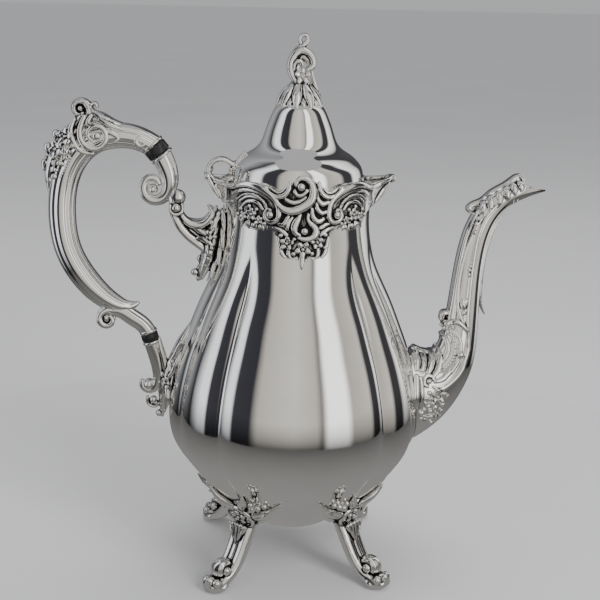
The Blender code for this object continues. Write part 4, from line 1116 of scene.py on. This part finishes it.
def build_sockets():
    moulded_rod("upper_socket_arm", [
        (-72.0, 226.9, 5.6), (-69.6, 222.0, 5.4), (-67.6, 215.6, 4.8), (-67.8, 209.4, 4.0),
        (-70.6, 204.6, 3.2), (-75.6, 202.8, 2.8), (-80.2, 205.6, 2.5), (-81.2, 210.6, 2.3),
        (-78.2, 214.6, 2.1), (-74.4, 213.8, 1.9), (-73.0, 211.4, 1.6)], 110,
        (40, -40, 140, -140), 0.12, ["upper_handle_socket"])
    casting = Casting()
    casting.ball((-76.4, 0, 208.8), (2.8, 4.6, 2.8))
    casting.ball((-63.4, 0, 204.6), (4.3, 4.3, 4.3))
    casting.sweep([(-66.8, 0, 208.0, 3.0), (-65.0, 0, 203.6, 3.6), (-63.8, 0, 199.4, 3.4)])
    for y in (-1, 1):
        stroke = side_strokes(casting, y)
        casting.ball((-64.2, 2.9 * y, 199.2), (2.4, 2.2, 2.4))
        stroke([(-61.0, 2.8, 201.0, 0.7), (-61.4, 3.4, 197.2, 0.9), (-64.2, 3.6, 195.8, 1.0),
                (-67.2, 3.4, 197.6, 0.9), (-67.4, 3.0, 200.6, 0.7)])
        # Split arm: the outer strap down to the plate, the inner one up into a leaf.
        stroke([(-65.6, 2.6, 196.0, 2.0), (-62.6, 2.8, 190.0, 2.2), (-58.6, 3.0, 185.0, 2.3),
                (-53.0, 3.4, 180.4, 2.3), (-48.6, 3.8, 176.6, 1.8)])
        stroke([(-61.8, 2.4, 196.4, 1.4), (-59.6, 2.6, 192.8, 1.8), (-55.4, 3.0, 190.4, 2.1),
                (-50.6, 3.6, 190.6, 2.2), (-47.0, 4.2, 193.6, 1.9), (-45.4, 4.0, 197.6, 1.5),
                (-47.2, 3.4, 199.6, 0.9)])
        stroke([(-54.4, 3.8, 188.4, 0.8), (-51.2, 4.8, 187.0, 1.2), (-47.2, 5.6, 186.0, 1.2),
                (-44.8, 6.4, 188.6, 0.8)])
        stroke([(-52.6, 4.4, 183.6, 1.0), (-48.6, 5.6, 182.4, 1.5), (-45.6, 6.6, 180.2, 1.1)])
        add_flower(casting, np.array([-47.8, 5.6 * y, 184.2]), (-0.8, y, 0), 3.2)
        for x, yy, z, r in ((-46.6, 5.6, 176.0, 2.0), (-47.6, 4.4, 172.6, 1.8), (-48.8, 3.6, 168.6, 1.7),
                            (-45.4, 7.2, 192.4, 1.4), (-44.0, 8.0, 185.0, 1.2), (-45.6, 7.6, 178.8, 1.1)):
            casting.ball((x, yy * y, z), r)
    casting.sweep([(-64.2, 0, 197.6, 3.0), (-60.4, 0, 190.6, 3.0), (-54.6, 0, 184.6, 3.2),
                   (-47.0, 0, 180.4, 3.6), (-42.4, 0, 178.6, 3.0)])
    casting.sweep([(-60.8, 0, 193.0, 2.0), (-54.6, 0, 191.0, 2.4), (-48.4, 0, 192.0, 2.6),
                   (-44.4, 0, 196.6, 1.9), (-43.0, 0, 199.6, 0.9)], flat=1.6)
    # The plate that lies on the body, and the leaf edges down its sides.
    plate = [(*on_body(180, z, 1.0)[0], r) for z, r in ((199.0, 2.0), (192.0, 5.0), (184.0, 7.6),
                                                        (175.0, 7.0), (167.0, 4.6), (159.5, 1.4))]
    casting.sweep(plate, body_normal, 0.3)
    for turn in (-1, 1):
        for top, middle, low, reach in ((198, 193, 188, 7), (190, 184, 179, 11), (181, 175, 170, 10),
                                        (172, 167, 162, 6)):
            casting.sweep([(*on_body(180 + turn * 3, top, 1.8)[0], 1.0),
                           (*on_body(180 + turn * reach, middle, 1.6)[0], 1.7),
                           (*on_body(180 + turn * (reach + 2), low, 1.0)[0], 0.8)], body_normal, 0.8)
    casting.sweep([(-39.4, 0, 197.0, 2.0), (-42.2, 0, 194.6, 3.0), (-44.6, 0, 190.6, 3.4)], flat=1.5)
    # The mass of leaves that the branches and drops grow from.
    casting.sweep([(-44.0, 0, 191.0, 3.4), (-45.4, 0, 184.0, 4.6), (-46.6, 0, 177.0, 4.6),
                   (-48.2, 0, 170.6, 3.8), (-50.0, 0, 165.6, 3.0), (-51.2, 0, 161.4, 1.7)], flat=1.5)
    casting.sweep([(-57.0, 0, 187.6, 1.6), (-52.0, 0, 186.6, 2.6), (-46.6, 0, 186.4, 3.4)], flat=1.2)
    casting.ball((-51.6, 0, 171.6), (1.9, 2.4, 2.2))
    casting.ball((-52.2, 0, 166.6), (1.5, 2.0, 1.7))
    casting.ball((-54.6, 0, 164.2), (2.2, 2.4, 2.0))
    casting.ball((-52.8, 0, 160.6), (1.2, 1.6, 1.6))
    mesh = casting.fuse("upper_socket_casting", voxel=0.32, smooth=1)
    add_piece("upper_socket_casting", mesh, "pot", [], cast)

    moulded_rod("lower_socket_arm", [
        (-78.2, 125.6, 4.1), (-76.4, 119.0, 3.9), (-75.0, 112.6, 3.6), (-74.4, 106.6, 3.2),
        (-75.6, 101.2, 2.6), (-79.0, 97.8, 2.1), (-82.8, 99.6, 1.8), (-83.4, 103.4, 1.4)], 70,
        (40, -40, 140, -140), 0.12, ["lower_handle_socket"])
    casting = Casting()
    casting.ball((-79.8, 0, 101.2), (3.2, 4.4, 3.2))
    casting.ball((-77.4, 0, 92.2), (2.2, 2.8, 2.2))
    casting.ball((-74.4, 0, 84.4), (2.0, 2.4, 2.0))
    casting.sweep([(-80.6, 0, 93.8, 0.8), (-80.4, 0, 90.2, 0.9), (-77.0, 0, 88.4, 1.0),
                   (-74.0, 0, 90.4, 1.1), (-73.4, 0, 96, 1.4), (-73.4, 0, 103, 2.0)], flat=1.8)
    for y in (-1, 1):
        stroke = side_strokes(casting, y)
        # Leaves that part at a V: one back up to the joint, one lying up the body.
        stroke([(-74.0, 2.2, 127.4, 0.7), (-73.0, 2.4, 122.0, 1.3), (-71.6, 2.6, 116.6, 1.5),
                (-70.6, 2.8, 111.0, 1.6)])
        stroke([(-70.4, 2.8, 110.0, 1.6), (-66.4, 3.4, 116.6, 1.6), (-62.8, 3.8, 123.6, 1.6),
                (-59.4, 3.8, 130.4, 1.3), (-57.0, 3.2, 135.2, 0.5)])
        stroke([(-69.2, 5.0, 106.0, 1.0), (-66.4, 6.6, 110.4, 1.4), (-64.2, 7.0, 116.0, 1.2),
                (-62.0, 6.6, 121.0, 0.6)])
        stroke([(-70.6, 4.0, 102.0, 1.2), (-69.4, 6.4, 98.0, 1.5), (-69.4, 7.2, 93.0, 1.1),
                (-70.2, 6.2, 89.0, 0.5)])
        add_flower(casting, np.array([-70.4, 5.4 * y, 103.4]), (-0.8, y, 0), 2.8)
        for x, yy, z, r in ((-71.8, 3.0, 107.4, 1.7), (-71.8, 3.4, 97.0, 1.6), (-71.8, 2.8, 91.2, 1.5),
                            (-71.6, 2.0, 86.4, 1.3), (-61.6, 5.4, 126.2, 1.2), (-66.0, 5.4, 113.6, 1.2)):
            casting.ball((x, yy * y, z), r)
    casting.sweep([(-57.2, 0, 134.6, 0.8), (-61.8, 0, 127.0, 1.8), (-66.6, 0, 116.0, 2.4),
                   (-70.0, 0, 106, 3.0), (-71.6, 0, 96, 2.6), (-72.2, 0, 88, 1.8),
                   (-72.6, 0, 82.8, 0.8)], flat=2.0)
    casting.sweep([(-76.0, 0, 123.6, 1.6), (-73.6, 0, 116.0, 2.0), (-71.8, 0, 109.0, 2.4)], flat=1.2)
    mesh = casting.fuse("lower_socket_casting", voxel=0.32, smooth=1)
    add_piece("lower_socket_casting", mesh, "pot", [], cast)


# Feet

def build_feet():
    turn = radians(FOOT_AZIMUTH)
    for node, (sign_x, sign_y) in FOOT_SIDES.items():
        casting = Casting()

        def place(x, y, z, sign_x=sign_x, sign_y=sign_y):
            """From the foot's own frame, X outwards, to the pot's."""
            wx = x * cos(turn) - y * sin(turn)
            wy = x * sin(turn) + y * cos(turn)
            return np.array([wx * sign_x, -wy * sign_y, z])

        def knee_point(spread, height, lift, sign_x=sign_x, sign_y=sign_y):
            """A point off the body, spread degrees round it from the middle of the knee."""
            point, _ = on_body(FOOT_AZIMUTH + spread, height, lift)
            return point * np.array([sign_x, -sign_y, 1])

        outward = place(1, 0, 0)
        lateral = place(0, 1, 0)

        def stroke(points, normal=None, flat=0.8, place=place, outward=outward):
            casting.sweep([(*place(x, y, z), r) for x, y, z, r in points],
                          outward if normal is None else normal, flat, step=0.7)

        leg = [(35.6, 34, 3.6), (39.4, 27.6, 3.7), (42.8, 21, 3.6), (47.2, 13.6, 3.4), (52.8, 7.6, 3.2),
               (59.0, 4.4, 3.0), (64.0, 3.6, 2.8)]
        # Two rounded side rails with a raised rib between them.
        for side in (-1, 1):
            stroke([(x, 3.5 * side, z, r) for x, z, r in leg], flat=0.95)
        stroke([(x + 0.9, 0, z + 0.9, r * 0.86) for x, z, r in leg])
        stroke([(x - 1.4, 0, z - 1.0, r * 0.9) for x, z, r in leg[:-1]])
        # Toe: an upper scroll, the end roll, and a pad on the ground.
        stroke([(52.6, 0, 11.6, 2.0), (55.6, 0, 13.8, 2.4), (59.2, 0, 12.6, 2.8), (60.4, 0, 9.6, 2.8)],
               lateral, 1.5)
        casting.ball(place(57.6, 0, 10.6), (4.2, 4.2, 3.6))
        for side in (-1, 1):
            casting.ball(place(57.6, 4.2 * side, 10.4), 2.4)
            casting.ball(place(64.4, 3.6 * side, 5.2), 2.6)
            stroke([(59.6, 5.2 * side, 3.2, 2.2), (63.4, 5.0 * side, 2.6, 2.2),
                    (66.6, 2.6 * side, 3.0, 2.0)])
        casting.ball(place(65.4, 0, 4.4), (3.4, 3.4, 4.0))
        casting.ball(place(66.6, 0, 6.8), 2.0)
        # Cartouche on the knee: an oval frame round a flower, on the slope of the body.
        centre = place(43.2, 0, 36.2)
        face = place(0.84, 0, -0.45)
        face /= np.linalg.norm(face)
        up = np.cross(lateral, face)
        up = up / np.linalg.norm(up) * np.sign(up[2])
        casting.ball(centre - face * 2.6, (9.5, 7.4, 3.4), (lateral, up, face))
        oval = [(*(centre + lateral * 8.8 * cos(a) + up * 6.6 * sin(a)), 1.35)
                for a in np.linspace(0, 2 * pi, 25)]
        casting.sweep(oval, face, 0.9, step=0.6)
        add_flower(casting, centre + face * 0.6, face, 5.0, 0.3)
        for a in np.linspace(0, 2 * pi, 12, endpoint=False):
            casting.ball(centre + lateral * 6.2 * cos(a) + up * 4.4 * sin(a) + face * 0.2, 0.75)
        # Beard of leaves down the shin.
        for y, low, r in ((-4.2, 27.0, 1.3), (-2.0, 23.4, 1.5), (0.4, 20.6, 1.5), (2.6, 24.0, 1.4),
                          (4.6, 27.6, 1.2)):
            stroke([(44.6, y * 1.2, 31.0, r), (45.0, y, (31.0 + low) / 2, r), (46.6, y * 0.8, low, 0.5)])
        # The casting's web, which lies on the body behind the leaves.
        web = [(*knee_point(spread, height, -0.4), radius)
               for spread, height, radius in ((-24, 42.6, 2.6), (-15, 41.6, 4.4), (0, 41.6, 6.2),
                                              (15, 41.6, 4.4), (24, 42.6, 2.6))]
        casting.sweep(web, body_normal, 0.42, step=0.7)
        # Side leaves and scrolls that climb the body, as (spread, height, lift, radius).
        for side in (-1, 1):
            for leaf in (
                ((5, 38.5, 2.2, 2.8), (11, 39.6, 2.2, 3.2), (18, 41.6, 2.0, 3.2), (25, 44.8, 1.6, 2.8),
                 (31, 49.2, 1.2, 1.9), (34, 52.8, 0.8, 0.7)),
                ((7, 34.2, 2.0, 2.4), (13, 35.4, 2.0, 2.6), (19, 37.6, 1.7, 2.2), (25, 40.4, 1.0, 0.9)),
                ((3, 42.6, 2.0, 2.6), (7, 46.4, 2.0, 2.9), (11, 50.4, 1.6, 2.2), (12, 53.8, 1.0, 0.9)),
            ):
                path = [(*knee_point(spread * side, height, lift), radius)
                        for spread, height, lift, radius in leaf]
                casting.sweep(path, body_normal, 0.7, step=0.7)
            for spread, height, size in ((15, 46.2, 2.1), (20, 48.4, 1.8), (25, 51.2, 1.5), (10, 42.6, 2.1),
                                         (21, 37.4, 1.4), (16, 50.2, 1.5)):
                casting.ball(knee_point(spread * side, height, 1.4), size)
            p = knee_point(25 * side, 46.6, 2.2)
            add_flower(casting, p, body_normal(p), 2.8, 0.2)
        name = node + "_casting"
        mesh = casting.fuse(name, voxel=0.36, smooth=2, clip_ground=True)
        add_piece(name, mesh, "pot", [node], cast)


def dress_cad_nodes():
    """The plain fittings keep their CAD shape and take a worn metal finish."""
    for name in ("hinge_pin", "finial_stud", "finial_nut", "pin_upper_grip", "pin_upper_socket",
                 "pin_lower_grip", "pin_lower_socket"):
        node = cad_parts[name]
        node.data.materials.clear()
        node.data.materials.append(inner)
    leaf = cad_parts["hinge_body_leaf"]
    leaf.data.materials.clear()
    leaf.data.materials.append(polished)


# Stage

# What the silver mirrors round the horizon: (degrees from the front towards the spout, colour).
STUDIO_WALLS = [
    (-180, (0.10, 0.10, 0.11)), (-130, (0.42, 0.43, 0.45)), (-104, (0.03, 0.03, 0.035)),
    (-86, (1.25, 1.28, 1.35)), (-72, (1.25, 1.28, 1.35)), (-66, (0.05, 0.05, 0.06)),
    (-42, (0.04, 0.04, 0.05)), (-34, (0.60, 0.57, 0.53)), (-4, (0.80, 0.77, 0.72)),
    (14, (0.62, 0.59, 0.55)), (19, (0.20, 0.19, 0.18)), (24, (1.9, 1.9, 1.9)), (40, (1.9, 1.9, 1.9)),
    (46, (0.55, 0.52, 0.48)), (72, (0.72, 0.69, 0.64)), (80, (0.05, 0.05, 0.055)),
    (98, (0.05, 0.05, 0.055)), (106, (1.4, 1.4, 1.4)), (126, (0.9, 0.9, 0.9)),
    (136, (0.05, 0.05, 0.055)), (180, (0.10, 0.10, 0.11)),
]
DRUM_RADIUS = 0.34
DRUM_HEIGHT = 0.95
WALL_FADE = 0.1              # height over which the panels come up from near dark
FLOOR_SIZE = 400             # in metres, so that its far edge is close to the horizon
AIM_HEIGHT = 0.13            # where the lamps point, about half way up the pot


def build_world():
    world = bpy.data.worlds.new("studio")
    bpy.context.scene.world = world
    world.use_nodes = True
    background = world.node_tree.nodes["Background"]
    background.inputs["Color"].default_value = (0.46, 0.465, 0.475, 1)
    background.inputs["Strength"].default_value = 1.0


def show_in_reflections_only(thing):
    for kind in ("camera", "diffuse", "transmission", "volume_scatter", "shadow"):
        setattr(thing, "visible_" + kind, False)


def build_walls():
    """Tall soft panels with dark gaps round the pot, and a grey table that glows with a painted pool of
    light, brighter in its middle and darker towards its edge, seen only in the silver.
    """
    bpy.ops.mesh.primitive_cylinder_add(vertices=128, radius=DRUM_RADIUS, depth=DRUM_HEIGHT,
                                        end_fill_type="NOTHING", location=(0, 0, DRUM_HEIGHT / 2))
    drum = bpy.context.object
    drum.name = "studio_walls"
    show_in_reflections_only(drum)
    material, tree, shader = node_material("studio_walls")
    where = add_node(tree, "ShaderNodeTexCoord").outputs["Object"]
    split = add_node(tree, "ShaderNodeSeparateXYZ", {"Vector": where})
    front = add_node(tree, "ShaderNodeMath", {0: split.outputs["Y"], 1: -1.0}, operation="MULTIPLY")
    turn = add_node(tree, "ShaderNodeMath", {0: split.outputs["X"], 1: front.outputs["Value"]},
                    operation="ARCTAN2")
    around = add_node(tree, "ShaderNodeMapRange", {"Value": turn.outputs["Value"], "From Min": -pi,
                                                   "From Max": pi})
    walls = color_ramp(tree, around.outputs["Result"],
                       [((angle + 180) / 360, color) for angle, color in STUDIO_WALLS])
    rise = add_node(tree, "ShaderNodeMapRange", {"Value": split.outputs["Z"], "From Min": -DRUM_HEIGHT / 2,
                                                 "From Max": -DRUM_HEIGHT / 2 + WALL_FADE,
                                                 "To Min": 0.12})
    emit = tree.nodes.new("ShaderNodeEmission")
    tree.links.new(walls, emit.inputs["Color"])
    tree.links.new(rise.outputs["Result"], emit.inputs["Strength"])
    tree.links.new(emit.outputs["Emission"], tree.nodes["Material Output"].inputs["Surface"])
    drum.data.materials.append(material)

    bpy.ops.mesh.primitive_circle_add(vertices=128, radius=DRUM_RADIUS, fill_type="NGON",
                                      location=(0, 0, -0.0001))
    table = bpy.context.object
    table.name = "studio_table"
    show_in_reflections_only(table)
    material, tree, shader = node_material("studio_table")
    where = add_node(tree, "ShaderNodeTexCoord").outputs["Object"]
    away = add_node(tree, "ShaderNodeVectorMath", {0: where}, operation="LENGTH")
    # Painted light: the table glows brighter near the pot and fades darker towards its edge, a pool of
    # light painted into its emission.
    painted_light_pool = add_node(tree, "ShaderNodeMapRange", {"Value": away.outputs["Value"], "From Min": 0.05,
                                                  "From Max": DRUM_RADIUS, "To Min": 0.27, "To Max": 0.10})
    emit = add_node(tree, "ShaderNodeEmission", {"Color": (1.0, 0.99, 0.97, 1),
                                                 "Strength": painted_light_pool.outputs["Result"]})
    tree.links.new(emit.outputs["Emission"], tree.nodes["Material Output"].inputs["Surface"])
    table.data.materials.append(material)


def build_stage():
    bpy.ops.mesh.primitive_plane_add(size=FLOOR_SIZE, location=(0, 0, -0.0002))
    floor = bpy.context.object
    floor.name = "floor"
    material, tree, shader = node_material("pale_floor")
    where = add_node(tree, "ShaderNodeTexCoord").outputs["Object"]
    grain = add_node(tree, "ShaderNodeTexNoise", {"Vector": where, "Scale": 3.0, "Detail": 3.0})
    tone = color_ramp(tree, grain.outputs["Fac"], [(0.3, (0.83, 0.83, 0.835)), (0.7, (0.87, 0.87, 0.875))])
    tree.links.new(tone, shader.inputs["Base Color"])
    shader.inputs["Roughness"].default_value = 0.6
    floor.data.materials.append(material)

    for name, place, size, power in (
        ("key_window", (0.75, -1.05, 0.85), (0.5, 1.2), 12.0),
        ("overhead", (0.1, 0.3, 1.5), (1.0, 1.0), 8.0),
    ):
        light = bpy.data.lights.new(name, "AREA")
        light.shape = "RECTANGLE"
        light.size, light.size_y = size
        light.energy = power
        lamp = bpy.data.objects.new(name, light)
        lamp.location = place
        aim = Vector((0, 0, AIM_HEIGHT)) - Vector(place)
        lamp.rotation_euler = aim.to_track_quat("-Z", "Y").to_euler()
        lamp.visible_glossy = False
        bpy.context.scene.collection.objects.link(lamp)


def build_camera():
    """Close in front, a little to the handle's side, looking down on the pot."""
    distance, height, side = 0.594, 0.303, radians(4.7)
    yaw, pitch, roll = radians(4.92), radians(14.57), radians(1.21)
    ahead = Vector((sin(yaw) * cos(pitch), cos(yaw) * cos(pitch), -sin(pitch)))
    level = Vector((cos(yaw), -sin(yaw), 0))
    upright = level.cross(ahead)
    right = cos(roll) * level + sin(roll) * upright
    above = cos(roll) * upright - sin(roll) * level
    data = bpy.data.cameras.new("camera")
    data.sensor_width = 36
    data.lens = 67.8
    data.clip_start = 0.01
    camera = bpy.data.objects.new("camera", data)
    place = Vector((-distance * sin(side), -distance * cos(side), height))
    camera.matrix_world = Matrix((
        (right.x, above.x, -ahead.x, place.x), (right.y, above.y, -ahead.y, place.y),
        (right.z, above.z, -ahead.z, place.z), (0, 0, 0, 1),
    ))
    bpy.context.scene.collection.objects.link(camera)
    bpy.context.scene.camera = camera


build_world()
build_walls()
build_stage()
build_camera()
build_body()
build_lid()
build_rings()
rim_cartouche(back=False)
rim_cartouche(back=True)
rim_end(1)
rim_end(-1)
build_finial()
build_hinge()
build_spout()
build_handle()
build_insulators()
build_sockets()
build_feet()
dress_cad_nodes()
